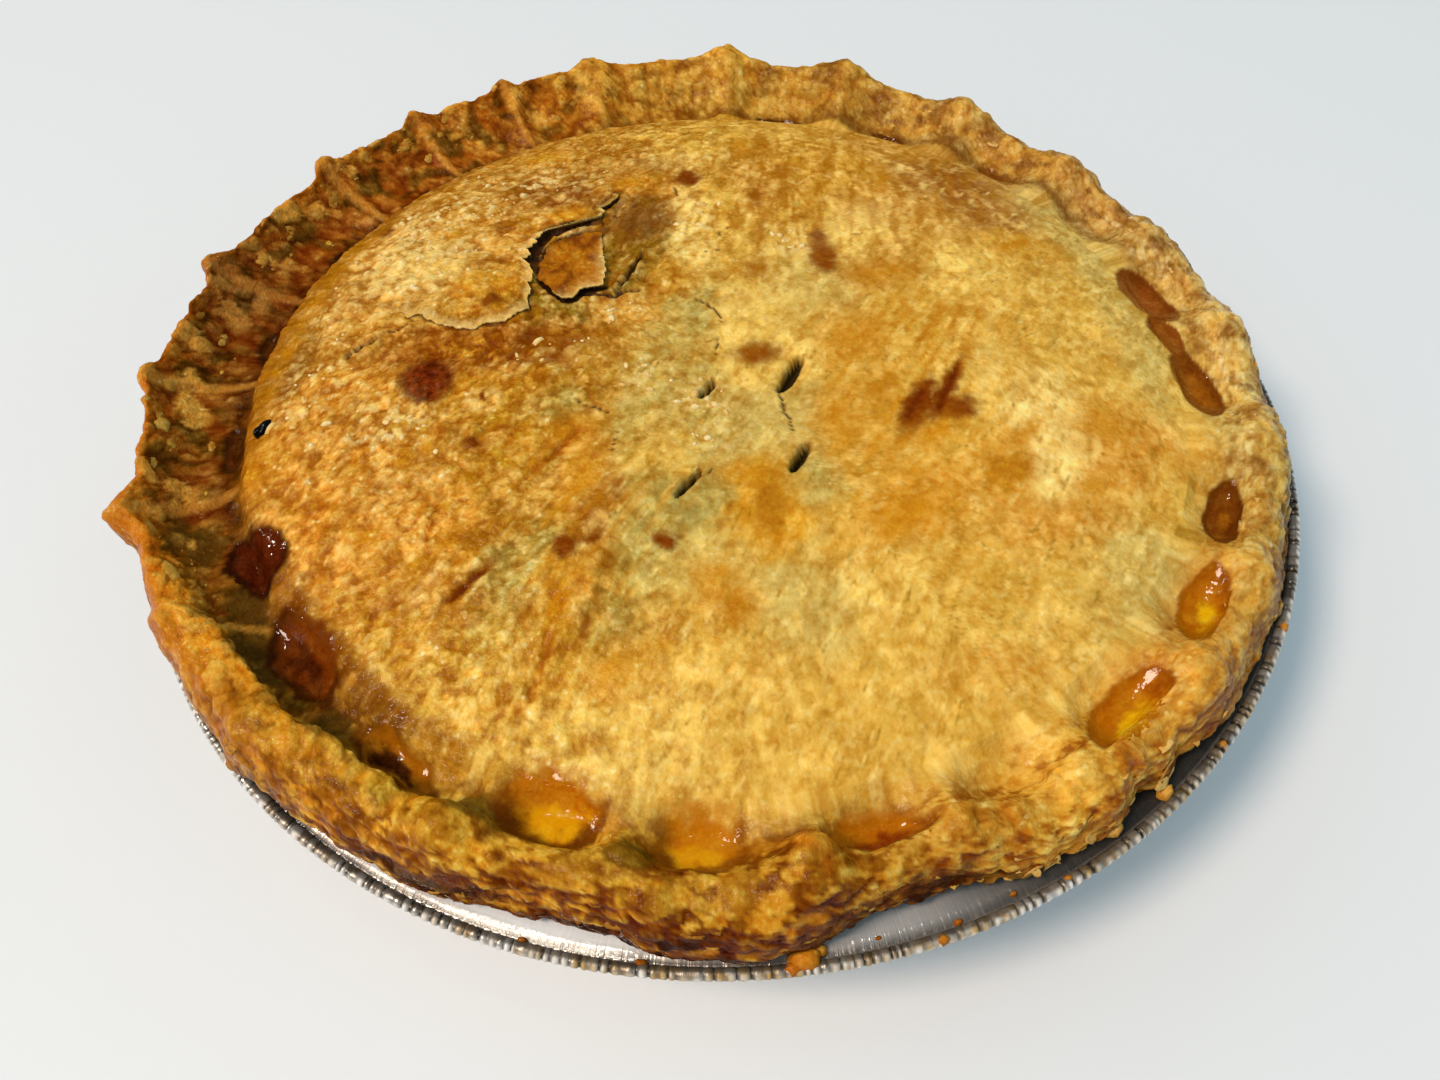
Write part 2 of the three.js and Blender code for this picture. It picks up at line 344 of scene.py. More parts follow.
# broken edge of the flaky top layer, which lies to the upper left of it
TORN = [(-68.5, 17.2), (-66.3, 13.6), (-65.2, 15.0), (-63.0, 13.2), (-60.5, 11.6), (-57.5, 10.4), (-54.5, 9.2), (-52.2, 9.4),
        (-50.2, 10.4), (-47.5, 10.2), (-45.2, 11.0), (-43.4, 13.4), (-40.2, 14.2), (-40.8, 17.6), (-40.2, 19.8),
        (-41.6, 22.5), (-40.4, 25.0), (-42.4, 30.0), (-41.6, 35.5), (-38.4, 40.0), (-33.4, 42.6), (-29.0, 43.8),
        (-26.3, 44.6), (-25.9, 48.6), (-22.4, 53.2)]
PLATE = [(-39.4, 28.4), (-38.4, 34.4), (-35.6, 37.4), (-32.2, 39.2), (-28.6, 40.2), (-26.2, 39.8),
         (-25.4, 36.0), (-24.6, 30.0), (-24.2, 25.0), (-24.6, 20.4), (-28.4, 19.8), (-31.0, 17.2),
         (-33.6, 17.2), (-36.0, 20.0), (-38.6, 24.0)]
SUNK = [(-26.0, 48.6), (-22.6, 52.6), (-18.0, 48.0), (-10.6, 41.0), (-12.6, 36.0), (-16.2, 32.4),
        (-18.0, 27.0), (-20.4, 22.0), (-24.2, 19.6), (-24.4, 25.0), (-25.4, 36.0), (-25.8, 42.0)]
# narrow cracks: path, half width, depth
CRACKS = [
    ([(-26.8, 49.2), (-25.0, 50.4), (-22.6, 53.0)], 0.75, 1.6),
    ([(-26.2, 49.0), (-25.9, 45.0), (-25.6, 41.5)], 0.28, 0.5),
    ([(-16.4, 32.2), (-17.4, 29.0), (-18.6, 25.4), (-20.2, 22.0), (-21.6, 19.0)], 0.62, 1.6),
    ([(-30.2, 19.6), (-27.4, 18.8), (-24.6, 18.4), (-22.0, 17.8), (-19.4, 19.0), (-16.8, 19.4)], 0.62, 1.5),
    ([(-78.4, 3.0), (-75.6, 6.2), (-73.6, 7.2), (-71.6, 9.4)], 0.62, 1.3),
    ([(-71.6, 9.4), (-68.8, 10.0), (-66.6, 12.6)], 0.3, 0.5),
    ([(-29.4, -12.8), (-27.0, -15.6), (-24.2, -16.4), (-21.4, -18.0)], 0.28, 0.5),
    ([(-4.6, 15.6), (-2.0, 13.8), (0.2, 11.6), (1.0, 8.4)], 0.3, 0.55),
    ([(0.4, 4.8), (-0.4, 0.5), (-0.8, -3.0)], 0.24, 0.45),
    ([(12.2, -13.8), (12.8, -17.6), (14.4, -22.6)], 0.3, 0.6),
    ([(-5.6, -35.4), (-3.6, -34.4), (-1.4, -32.4)], 0.24, 0.4),
    ([(-19.6, -21.4), (-21.0, -25.4), (-21.4, -30.0)], 0.22, 0.35),
    ([(-9.4, 56.6), (-8.2, 53.2)], 0.3, 0.5),
    ([(3.0, 40.6), (1.2, 38.2), (1.6, 35.6)], 0.22, 0.4),
    ([(31.6, 37.6), (33.6, 37.4)], 0.3, 0.4),
    ([(-5.0, 30.0), (-2.0, 31.4), (1.0, 32.0)], 0.22, 0.35),
]
# creases and wrinkles: path, half width, depth
CREASES = [
    ([(-19.6, -50.0), (-21.0, -54.6), (-22.0, -60.0), (-24.4, -65.0), (-26.0, -71.0)], 1.3, 0.45),
    ([(-27.6, -21.0), (-31.0, -26.0), (-35.2, -31.0), (-39.6, -36.4)], 0.7, 0.45),
    ([(-17.0, -52.0), (-18.6, -57.0), (-20.4, -62.0)], 0.8, 0.4),
    ([(-42.4, -51.6), (-46.0, -56.0), (-50.6, -60.6)], 0.9, 0.5),
    ([(-30.6, -66.0), (-32.4, -72.0), (-34.8, -80.0)], 0.9, 0.4),
    ([(36.6, -21.0), (41.4, -12.0)], 0.7, 0.3),
    ([(42.6, -19.8), (50.0, -4.6)], 0.6, 0.3),
]
# low bulges and dips of the lid: middle, sizes, turn, height
SWELLS = [
    (4.8, -21.0, 17, 17, 0, -1.3), (-60, 40, 22, 18, 30, 0.7), (-62, -40, 20, 24, 20, 0.7),
    (40, -58, 26, 20, -30, 0.4), (48, 36, 24, 20, 30, 0.4), (-26, -62, 5.0, 13, -24, 0.45),
    (-36, -58, 4.0, 14, -24, 0.5), (-12, 10, 9, 8, 0, -0.5), (-52, 3, 14, 5, 0, -0.6),
    (-52, 20, 9, 7, 0, 0.5), (8, -41, 5, 7, 0, 0.5), (-14, 26, 6, 5, 0, 0.5),
    (20, 74, 16, 10, -15, 0.4), (70, -22, 12, 12, 0, 0.3),
]


def base_lid(x, y):
    r = np.hypot(x, y)
    deg = np.degrees(np.arctan2(y, x))
    z = TOP_Z - around(deg, DOME_FALL) * (r / VALLEY_R) ** around(deg, DOME_POWER)
    for cx, cy, rx, ry, turn, h in SWELLS:
        z = z + h * blot(x, y, cx, cy, rx, ry, turn)
    return z


def left_side(x, y):
    """1 where the crust is rough and pebbled, 0 where it is smooth and brushed."""
    return smooth(26, -46, x - 0.12 * y) * (1 - 0.45 * blot(x, y, -10, -40, 24, 20))


def lid_relief(x, y, bare=True):
    """Height of the lid with its unevenness, and the marks that go with it. Without bare,
    as it runs on over the loose layers, with no breaks."""
    p = np.stack([x, y, np.zeros_like(x)], 1)
    r = np.hypot(x, y)
    edge = 1 - smooth(SEAM_R - 5, SEAM_R, r)
    rough = left_side(x, y)
    z = base_lid(x, y)
    z += 0.75 * fbm(p / 30, 0, 3) + 0.40 * fbm(p / 11, 2, 3)
    # blisters, and the crumbly flakes of the rough side
    d1, d2, who = FIELDS[5].cells(warp(p, 6, 2.4, 2) / 6.0)
    blister = np.where(who > 0.62, smooth(0.62, 0.1, d1), 0)
    z += mix(0.08, 0.40, rough) * blister
    lump, crease, number = cobble(p, 4.0, 6)
    lump2, crease2, number2 = cobble(p, 1.9, 8)
    z += mix(0.05, 0.34, rough) * (lump * (0.3 + 1.0 * number) - 0.4 * crease - 0.3)
    z += mix(0.02, 0.20, rough) * (lump2 - 0.4)
    z += mix(0.09, 0.16, rough) * fbm(warp(p, 3, 1.2, 7) / 2.2, 4, 2)
    # brushed streaks, all swept one way
    a = math.radians(60)
    q = np.stack([(x * math.cos(a) + y * math.sin(a)) / 15, (-x * math.sin(a) + y * math.cos(a)) / 2.6,
                  np.full_like(x, 0.3)], 1)
    streak = fbm(q, 7, 3)
    z += (mix(0.20, 0.10, rough) + 0.28 * blot(x, y, -30, -60, 30, 30)) * streak
    marks = {"gap": np.zeros(len(x)), "crease": np.zeros(len(x)), "plate": np.zeros(len(x)),
             "sunk": np.zeros(len(x)), "under": np.zeros(len(x)), "well": np.zeros(len(x)),
             "torn": np.zeros(len(x)), "streak": streak, "lump": lump, "crumb": crease, "number": number, "lump2": lump2,
             "number2": number2, "blister": blister, "rough": rough}
    for path, half, depth in CREASES:
        d, _, t = along(x, y, path)
        g = np.exp(-((d / half) ** 2)) * smooth(0, 0.12, t) * smooth(1, 0.88, t)
        z -= depth * g
        z += 0.45 * depth * np.exp(-(((d - 2.0 * half) / half) ** 2)) * smooth(0, 0.12, t) * smooth(1, 0.88, t)
        marks["crease"] = np.maximum(marks["crease"], g * depth)
    # the bare lower layer along the torn edge, under the loose plate and beside it
    wx, wy = wander(x, y, 0.5, 0.18, 5)
    if bare:
        d, side, t = along(x, y, TORN)
        arc = smooth(0.50, 0.62, t) * smooth(0.90, 0.85, t)
        wide = mix(3.1, 1.5, smooth(0.66, 0.84, t))
        gap = np.where(side < 0, arc * smooth(wide, wide - 0.8, d + 0.4 * FIELDS[4](p / 1.3)), 0.0)
        # under: painted shadow along and under the torn edge, and in the gap beside the loose plate
        marks["under"] = np.maximum(np.where(side > 0, smooth(2.6, 0.9, d), np.exp(-((d / 0.42) ** 2))) * mix(0.6, 1.0, arc), gap)
        z -= 0.9 * gap
        z -= 0.35 * np.exp(-d / 1.6)
        well = inside(wx, wy, PLATE)
        d, _, _ = along(wx, wy, PLATE + PLATE[:1])
        well = np.where(well, 1.0, np.exp(-((d / 0.9) ** 2)))
        open_ = 1 - smooth(-28.6, -26.6, x) * smooth(20.6, 23.0, y)
        z -= mix(0.25, 1.1, open_) * well
        # well: the hollow under the loose plate, painted in shade
        marks["well"] = well * open_
        low = inside(wx, wy, SUNK)
        border, _, _ = along(wx, wy, SUNK + SUNK[:1])
        z = np.where(low, z - 0.55 * (1 - np.exp(-border / 0.8)), z)
        marks["sunk"] = np.where(low, 1 - np.exp(-border / 1.0), 0)
    for path, half, depth in CRACKS if bare else []:
        d, _, t = along(wx, wy, path)
        h = half * (0.35 + 0.65 * np.sin(np.pi * np.clip(0.08 + 0.84 * t, 0, 1)))
        g = np.exp(-((d / h) ** 2))
        z -= depth * g
        z += 0.25 * depth * np.exp(-(((d - 2.2 * half) / (1.2 * half)) ** 2))
        # gap: the cracks, painted dark, partly their own dark inside and partly painted shade
        marks["gap"] = np.maximum(marks["gap"], g * min(1.0, 0.35 + 0.5 * depth))
    vent = np.zeros(len(x))
    for vx, vy, length, width, turn in VENTS:
        c, s = math.cos(math.radians(turn)), math.sin(math.radians(turn))
        u = (wx * 0.5 + x * 0.5 - vx) * c + (wy * 0.5 + y * 0.5 - vy) * s
        v = -(wx * 0.5 + x * 0.5 - vx) * s + (wy * 0.5 + y * 0.5 - vy) * c
        half = 0.5 * width * np.clip(1 - (2 * u / length) ** 2, 0, 1) ** 0.6 + 1e-3
        cut = np.where(np.abs(u) < length / 2, np.exp(-((v / half) ** 4)), 0)
        z -= 2.9 * cut
        lipd = np.hypot(v / (width * 1.3), u / (length * 0.62))
        z += 0.35 * np.exp(-(((lipd - 1.0) / 0.4) ** 2))
        vent = np.maximum(vent, cut)
    marks["vent"] = vent
    wet, _, _ = pool_stain(x, y)
    plain_z = base_lid(x, y) + 0.75 * fbm(p / 30, 0, 3)
    z = mix(plain_z, z, np.maximum(edge, 0.0) * smooth(0.9, 1.5, wet))
    z -= 0.9 * smooth(1.1, 0.4, wet)
    return z, marks


# ------------------------------------------------------------------ crust mesh
RINGS = 176
COLS = 6 * RINGS


def lid_points():
    xs, ys = [np.zeros(1)], [np.zeros(1)]
    for k in range(1, RINGS + 1):
        a = np.radians(np.arange(6 * k) * 60.0 / k)
        r = SEAM_R * k / RINGS
        xs.append(r * np.cos(a))
        ys.append(r * np.sin(a))
    x, y = np.concatenate(xs), np.concatenate(ys)
    keep = np.clip(1 - (np.hypot(x, y) / SEAM_R) ** 6, 0, 1)
    # closer points around the break in the crust and around the vents
    for cx, cy, size, pull in ((-33, 27, 17, 0.42), (4.5, -21, 17, 0.34), (-55, 12, 12, 0.22)):
        dx, dy = x - cx, y - cy
        g = pull * keep * np.exp(-(dx * dx + dy * dy) / (2 * size * size))
        x, y = x - dx * g, y - dy * g
    return x, y


def lid_faces():
    faces = []
    start = [0] + [1 + 3 * k * (k - 1) for k in range(1, RINGS + 1)]
    for k in range(1, RINGS + 1):
        n, m = 6 * k, 6 * (k - 1)
        for s in range(6):
            i = np.arange(k)
            a = start[k] + (s * k + i) % n
            b = start[k] + (s * k + i + 1) % n
            c = start[k - 1] + ((s * (k - 1) + i) % m if m else np.zeros(k, int))
            faces.append(np.stack([a, b, c], 1))
            if k > 1:
                i = np.arange(k - 1)
                a = start[k - 1] + (s * (k - 1) + i) % m
                b = start[k] + (s * k + i + 1) % n
                c = start[k - 1] + (s * (k - 1) + i + 1) % m
                faces.append(np.stack([a, b, c], 1))
    return np.concatenate(faces), start[RINGS]


def rim_sections(deg, seam_z):
    """Control points of the rim's section, from the lid's edge over the crest to the lip."""
    cz, cr, lr = around(deg, CREST_Z), around(deg, CREST_R), around(deg, LIP_R)
    pinch, slant, far = around(deg, PINCH), around(deg, SLANT), around(deg, FAR_LEFT)
    size = around(deg, RIDGE_SIZE)

    def w(r):
        raw = ridge(deg - slant * (r - 112))
        return raw ** (1 + 1.5 * pinch + 7.0 * far)

    arc = np.radians(deg) * 112
    p = np.stack([np.cos(np.radians(deg)) * 112, np.sin(np.radians(deg)) * 112, np.zeros_like(deg)], 1)
    wob = fbm(p / 23, 1, 3)
    wob2 = fbm(p / 8.5, 4, 3)
    wob3 = fbm(p / 3.6, 7, 2)
    spike = np.zeros_like(deg)
    for at, out in SPIKES.items():
        gap = turn_gap(deg, at + around(np.array([at]), SLANT)[0] * 8)
        spike = np.maximum(spike, out * np.exp(-np.abs(gap / 1.7) ** 1.5))
    crest_z = cz + mix(-1.0 + 0.4 * far, 1.9 - 0.8 * far, w(cr) * size) + 0.7 * wob + 0.7 * wob2 + 0.3 * wob3 + 0.16 * spike
    crest_r = cr + 0.9 * w(cr) + 1.0 * wob2 + 0.4 * wob3 + 0.45 * spike
    lip_r = lr + mix(-0.3, 0.4, w(lr)) + 0.5 * wob2 + 0.45 * wob3
    wv = w(VALLEY_R) * (1 - 0.75 * far)
    w106, w110 = w(106) * (1 - 0.85 * far), w(110) * (1 - 0.7 * far)
    floor_r = mix(VALLEY_R, 102.4, far)
    valley = mix(mix(HOLLOW_Z, 38.6, far), SADDLE_Z - 0.4 * (1 - pinch) - 2.2 * far, wv) + 0.4 * wob
    ragged = np.clip(np.abs(wob3) * 2.2 - 0.15, 0, 1.4)
    full = around(deg, {0: 0.25, 45: 0.5, 90: 0.9, 120: 1.0, 228: 1.0, 244: 0.70, 258: 0.62, 267: 0.9, 285: 0.7, 300: 0.6, 315: 0.30, 340: 0.15})
    plump = np.clip(around(deg, {0: 0, 200: 0, 209: 0.5, 217: 1, 232: 1, 244: 0.6, 256: 0.3, 270: 0.15, 290: 0, 330: 0}), 0, 1)
    pts = [
        (np.full_like(deg, SEAM_R), seam_z),
        (mix(mix(99.4, 100.6, wv), mix(98.9, 99.8, wv), far), mix(seam_z, valley, mix(mix(0.62, 0.30, wv), mix(0.22, 0.25, wv), far))),
        (floor_r, valley),
        (mix(floor_r, crest_r, mix(0.52, 0.40, w106)), mix(valley, crest_z, mix(mix(0.20, 0.34, w106), 0.44, 0.6 * plump))),
        (crest_r - mix(mix(2.2, 3.0, w110), 4.8, plump), mix(valley, crest_z, mix(mix(0.70, 0.84, w110), 0.92, plump))),
        (crest_r, crest_z),
        (mix(crest_r, lip_r, mix(0.36, 0.50, full)) + 0.75 * spike, crest_z - mix(1.5, 0.8, pinch) - 0.12 * spike),
        (mix(crest_r, lip_r, mix(0.60, 0.88, full)) + 0.55 * spike, mix(crest_z, LIP_Z, 0.32)),
        (lip_r + mix(-1.6, 0.3, full) + 0.15 * spike, mix(crest_z, LIP_Z, 0.66)),
        (lip_r - 0.2 + 0.3 * wob2, LIP_Z + 1.3 + 1.3 * ragged),
        (lip_r - 1.7, LIP_Z + 0.1 + 0.9 * ragged),
        (lip_r - 4.2, np.full_like(deg, LIP_Z - 0.1)),
    ]
    return pts


RIM_STEPS = [6, 8, 9, 9, 8, 6, 8, 9, 9, 6, 3]  # rows between the control points
# knobs of dough on the rim: angle, row, size, height, colour, how much
KNOBS = [(276.6, 3.4, 4.0, 2.2, (220, 150, 58), 0.9), (260.2, 3.6, 3.6, 1.2, (152, 106, 30), 0.7), (245.4, 4.2, 4.4, 1.2, (176, 124, 40), 0.6),
         (248.6, 3.9, 2.6, 1.0, (146, 104, 34), 0.7), (288.8, 4.2, 4.0, 1.4, (226, 164, 74), 0.7), (255.4, 5.2, 3.4, 0.8, (196, 146, 64), 0.7),
         (263.6, 5.6, 3.2, 0.6, (200, 150, 68), 0.6), (270.2, 5.4, 3.0, 0.5, (170, 118, 36), 0.5), (293.6, 5.2, 3.6, 1.2, (204, 138, 50), 0.7),
         (300.4, 4.8, 3.8, 1.2, (236, 192, 112), 0.8), (306.2, 5.6, 3.4, 1.0, (200, 128, 44), 0.7), (317.0, 4.4, 3.6, 0.9, (236, 188, 102), 0.6),
         (331.4, 4.0, 3.4, 0.9, (238, 192, 108), 0.6), (348.6, 4.0, 4.0, 1.0, (240, 196, 114), 0.7), (6.0, 4.0, 3.6, 0.9, (240, 194, 110), 0.6),
         (22.4, 3.8, 3.8, 1.0, (238, 190, 106), 0.6), (38.0, 4.0, 3.8, 1.0, (226, 172, 88), 0.6), (30.0, 4.8, 2.6, 0.7, (206, 140, 54), 0.6),
         (15.0, 4.8, 2.6, 0.6, (212, 146, 58), 0.6), (340.0, 5.0, 2.8, 0.6, (208, 142, 56), 0.6), (231.0, 4.6, 4.0, 1.0, (204, 150, 60), 0.6),
         (224.0, 4.8, 3.6, 0.9, (196, 140, 50), 0.5), (238.6, 4.4, 3.0, 1.0, (172, 138, 56), 0.7), (235.0, 4.0, 2.4, 0.8, (196, 162, 82), 0.7),
         (54.0, 4.2, 3.6, 0.9, (220, 160, 76), 0.5), (71.0, 4.4, 3.6, 0.9, (206, 146, 56), 0.5), (88.0, 4.4, 3.6, 0.9, (196, 134, 46), 0.5),
         (50.0, 4.2, 3.4, 0.2, (168, 102, 32), 0.7), (43.0, 3.6, 2.6, 0.2, (156, 90, 26), 0.6), (36.0, 4.7, 2.6, 0.2, (190, 122, 46), 0.6),
         (28.0, 4.9, 2.8, 0.2, (158, 96, 32), 0.7), (20.0, 4.2, 2.2, 0.2, (152, 90, 30), 0.7), (12.0, 4.6, 2.4, 0.2, (178, 112, 40), 0.6),
         (4.0, 4.5, 2.2, 0.2, (166, 100, 34), 0.6), (352.0, 4.4, 2.4, 0.2, (184, 118, 44), 0.6), (344.0, 4.5, 2.2, 0.2, (156, 94, 32), 0.6),
         (335.0, 4.0, 2.2, 0.2, (192, 128, 50), 0.5), (58.0, 4.7, 3.4, 0.2, (150, 92, 30), 0.7), (66.0, 4.2, 3.4, 0.2, (164, 98, 30), 0.6),
         (74.0, 4.7, 3.6, 0.2, (142, 86, 26), 0.6), (325.0, 4.6, 2.4, 0.2, (184, 122, 48), 0.5), (33.0, 3.4, 2.6, 0.3, (204, 140, 54), 0.6),
         (9.0, 3.2, 2.6, 0.3, (206, 142, 56), 0.6), (82.0, 4.5, 3.4, 0.2, (150, 92, 28), 0.6), (357.0, 5.2, 2.2, 0.2, (140, 84, 28), 0.6)]


def knob_reach(deg, row, at, row0, size):
    return np.exp(-((turn_gap(deg, at) * 1.95 / size) ** 2 + ((row - row0) * 3.0 / size) ** 2) ** 1.4)



def spline_rows(pts):
    r = np.stack([a for a, _ in pts], 0)
    z = np.stack([b for _, b in pts], 0)
    rows_r, rows_z, where = [], [], []
    n = len(pts)
    for k in range(n - 1):
        a, b, c, d = (max(k - 1, 0), k, k + 1, min(k + 2, n - 1))
        for s in range(RIM_STEPS[k]):
            t = (s + 1) / RIM_STEPS[k]
            f = [-0.5 * t**3 + t**2 - 0.5 * t, 1.5 * t**3 - 2.5 * t**2 + 1,
                 -1.5 * t**3 + 2 * t**2 + 0.5 * t, 0.5 * t**3 - 0.5 * t**2]
            rows_r.append(f[0] * r[a] + f[1] * r[b] + f[2] * r[c] + f[3] * r[d])
            rows_z.append(f[0] * z[a] + f[1] * z[b] + f[2] * z[c] + f[3] * z[d])
            where.append(k + t)
    return np.array(rows_r), np.array(rows_z), np.array(where)


def grid_normals(P):
    """Unit normals of a grid of rows (closed around), pointing out of the crust."""
    du = np.roll(P, -1, axis=1) - np.roll(P, 1, axis=1)
    dv = np.empty_like(P)
    dv[1:-1] = P[2:] - P[:-2]
    dv[0] = P[1] - P[0]
    dv[-1] = P[-1] - P[-2]
    n = np.cross(dv, du)
    return n / (np.linalg.norm(n, axis=2, keepdims=True) + 1e-12)


def build_crust():
    x, y = lid_points()
    z, marks = lid_relief(x, y)
    faces, last = lid_faces()
    seam = np.arange(last, last + COLS)
    deg = np.degrees(np.arctan2(y[seam], x[seam]))
    rr, rz, where = spline_rows(rim_sections(deg, z[seam]))
    a = np.radians(deg)[None]
    P = np.stack([rr * np.cos(a), rr * np.sin(a), rz], 2)
    N = grid_normals(P)
    flat = P.reshape(-1, 3)
    rowk = np.repeat(where, COLS)
    degs = np.tile(deg, len(where))
    far = around(degs, FAR_LEFT)
    front = around(degs, {0: 0.25, 40: 0.3, 100: 0.4, 200: 0.4, 225: 0.8, 240: 1, 300: 1, 312: 0.7, 330: 0.3})
    fade = smooth(0.0, 1.2, rowk) * smooth(11.0, 10.0, rowk)
    hollow = smooth(0.8, 1.6, rowk) * smooth(3.4, 2.5, rowk) * (1 - ridge(degs)) ** 0.7
    face = smooth(5.4, 6.6, rowk) * smooth(10.8, 10.2, rowk)
    disp = 0.7 * fbm(flat / 10, 3, 3)
    lump, crease, number = cobble(flat, 4.6, 8)
    lump2, crease2, number2 = cobble(flat, 2.1, 9)
    soft, _, who = FIELDS[11].cells(warp(flat, 9, 4, 5) / 9.0)
    disp += 0.65 * front * (np.clip(1 - (soft / 0.85) ** 2, 0, 1) * (0.4 + 0.8 * who) - 0.35)
    calm = 1 - 0.15 * front * (1 - far)
    disp += mix(0.34, 0.46, far) * calm * (lump * (0.25 + 1.0 * number) - 0.40 * crease - 0.2)
    disp += mix(0.13, 0.20, far) * calm * (lump2 - 0.5 * crease2 - 0.3)
    disp += 0.12 * fbm(warp(flat, 3, 1.0, 1) / 1.8, 6, 2)
    for at, row0, size, high, _, _ in KNOBS:
        disp += high * knob_reach(degs + 1.2 * FIELDS[1](flat / 3), rowk + 0.4 * FIELDS[5](flat / 3), at, row0, size)
    # thin layers of pastry showing on the outer face
    arc = np.radians(degs) * 114
    band = np.stack([arc / 2.6, flat[:, 2] + 1.6 * FIELDS[2](flat / 8) + 0.5 * FIELDS[3](flat / 2.5), np.zeros_like(arc)], 1)
    plate, split, leaf = cobble(band, 2.0, 10)
    disp += face * mix(0.22, 0.62, front) * (0.8 * leaf + 0.35 * plate - 0.35 * split - 0.4)
    wet, stain, damp = pool_stain(flat[:, 0], flat[:, 1])
    wet, damp = np.where(rowk > 4.6, 9.0, wet), np.where(rowk > 4.6, 0.0, damp)
    disp *= fade * (1 - 0.85 * hollow) * smooth(0.85, 1.35, wet)
    disp -= 0.9 * smooth(1.1, 0.4, wet) * smooth(0.0, 1.6, rowk)
    flat = flat + N.reshape(-1, 3) * disp[:, None]
    flat[:, 2] = np.maximum(flat[:, 2], 30.0)
    lidxyz = np.stack([x, y, z], 1)
    n0 = len(lidxyz)
    j, j1 = np.arange(COLS), (np.arange(COLS) + 1) % COLS

    def strips(rows):
        out = []
        for A, B in zip(rows[:-1], rows[1:]):
            out.append(np.stack([A[j], B[j], B[j1]], 1))
            out.append(np.stack([A[j], B[j1], A[j1]], 1))
        return out

    def ring(r, h):
        return np.stack([r * np.cos(a[0]), r * np.sin(a[0]), np.full(COLS, h)], 1)

    # the lid is closed below by a plain disc inside the pie
    lid_verts = np.concatenate([lidxyz, ring(SEAM_R, 34.0), np.array([[0, 0, 34.0]])])
    wall = n0 + np.arange(COLS)
    lid_tris = np.concatenate([faces] + strips([seam, wall]) + [np.stack([wall[j], np.full(COLS, n0 + COLS), wall[j1]], 1)])
    # the rest of the pie: rim, and a plain underside that follows the inside of the tin
    nr = len(flat)
    under = [(111.6, 29.95), (110.1, 28.9), (91.6, 2.1), (89.8, 0.95)]
    body = np.concatenate([lidxyz[seam], flat] + [ring(ur, uz) for ur, uz in under] + [np.array([[0, 0, 0.95]]), ring(SEAM_R, 34.0),
                                                                                     np.array([[0, 0, 34.0]])])
    rows = [k * COLS + np.arange(COLS) for k in range(1 + len(where) + len(under))]
    foot = len(rows) * COLS
    inner = foot + 1 + np.arange(COLS)
    rim_tris = np.concatenate(strips([inner] + rows) + [np.stack([rows[-1][j], np.full(COLS, foot), rows[-1][j1]], 1),
                                                        np.stack([inner[j], inner[j1], np.full(COLS, foot + 1 + COLS)], 1)])
    rim_info = {"row": rowk, "deg": degs, "lump": lump, "crease": crease, "number": number, "lump2": lump2,
                "crease2": crease2, "number2": number2, "plate": plate, "split": split, "leaf": leaf, "face": face,
                "hollow": hollow, "far": far, "front": front, "wet": wet, "stain": stain, "damp": damp}
    return lid_verts, lid_tris, n0, marks, body, rim_tris, nr, rim_info, len(where)


# ------------------------------------------------------------------ colour of the bake
FROST = srgb(226, 178, 108)
CREAM = srgb(244, 206, 124)
BUTTER = srgb(231, 186, 92)
STRAW = srgb(219, 168, 70)
WHEAT = srgb(210, 150, 62)
PEACH = srgb(216, 146, 50)
TAN = srgb(196, 134, 46)
GOLD = srgb(208, 147, 42)
HONEY = srgb(194, 134, 28)
MARMALADE = srgb(188, 118, 12)
ORANGE = srgb(210, 138, 22)
AMBER = srgb(160, 84, 2)
RUST = srgb(134, 64, 2)
SEAR = srgb(116, 40, 4)
PLUM = srgb(158, 91, 27)
BARK = srgb(136, 82, 18)
UMBER = srgb(116, 62, 12)
# dark brown painted into cracks and gaps as the shade inside them
PAINTED_GAP_SHADE = srgb(48, 22, 8)
OLIVE = srgb(140, 102, 18)
SAGE = srgb(178, 155, 84)
LICHEN = srgb(203, 170, 92)

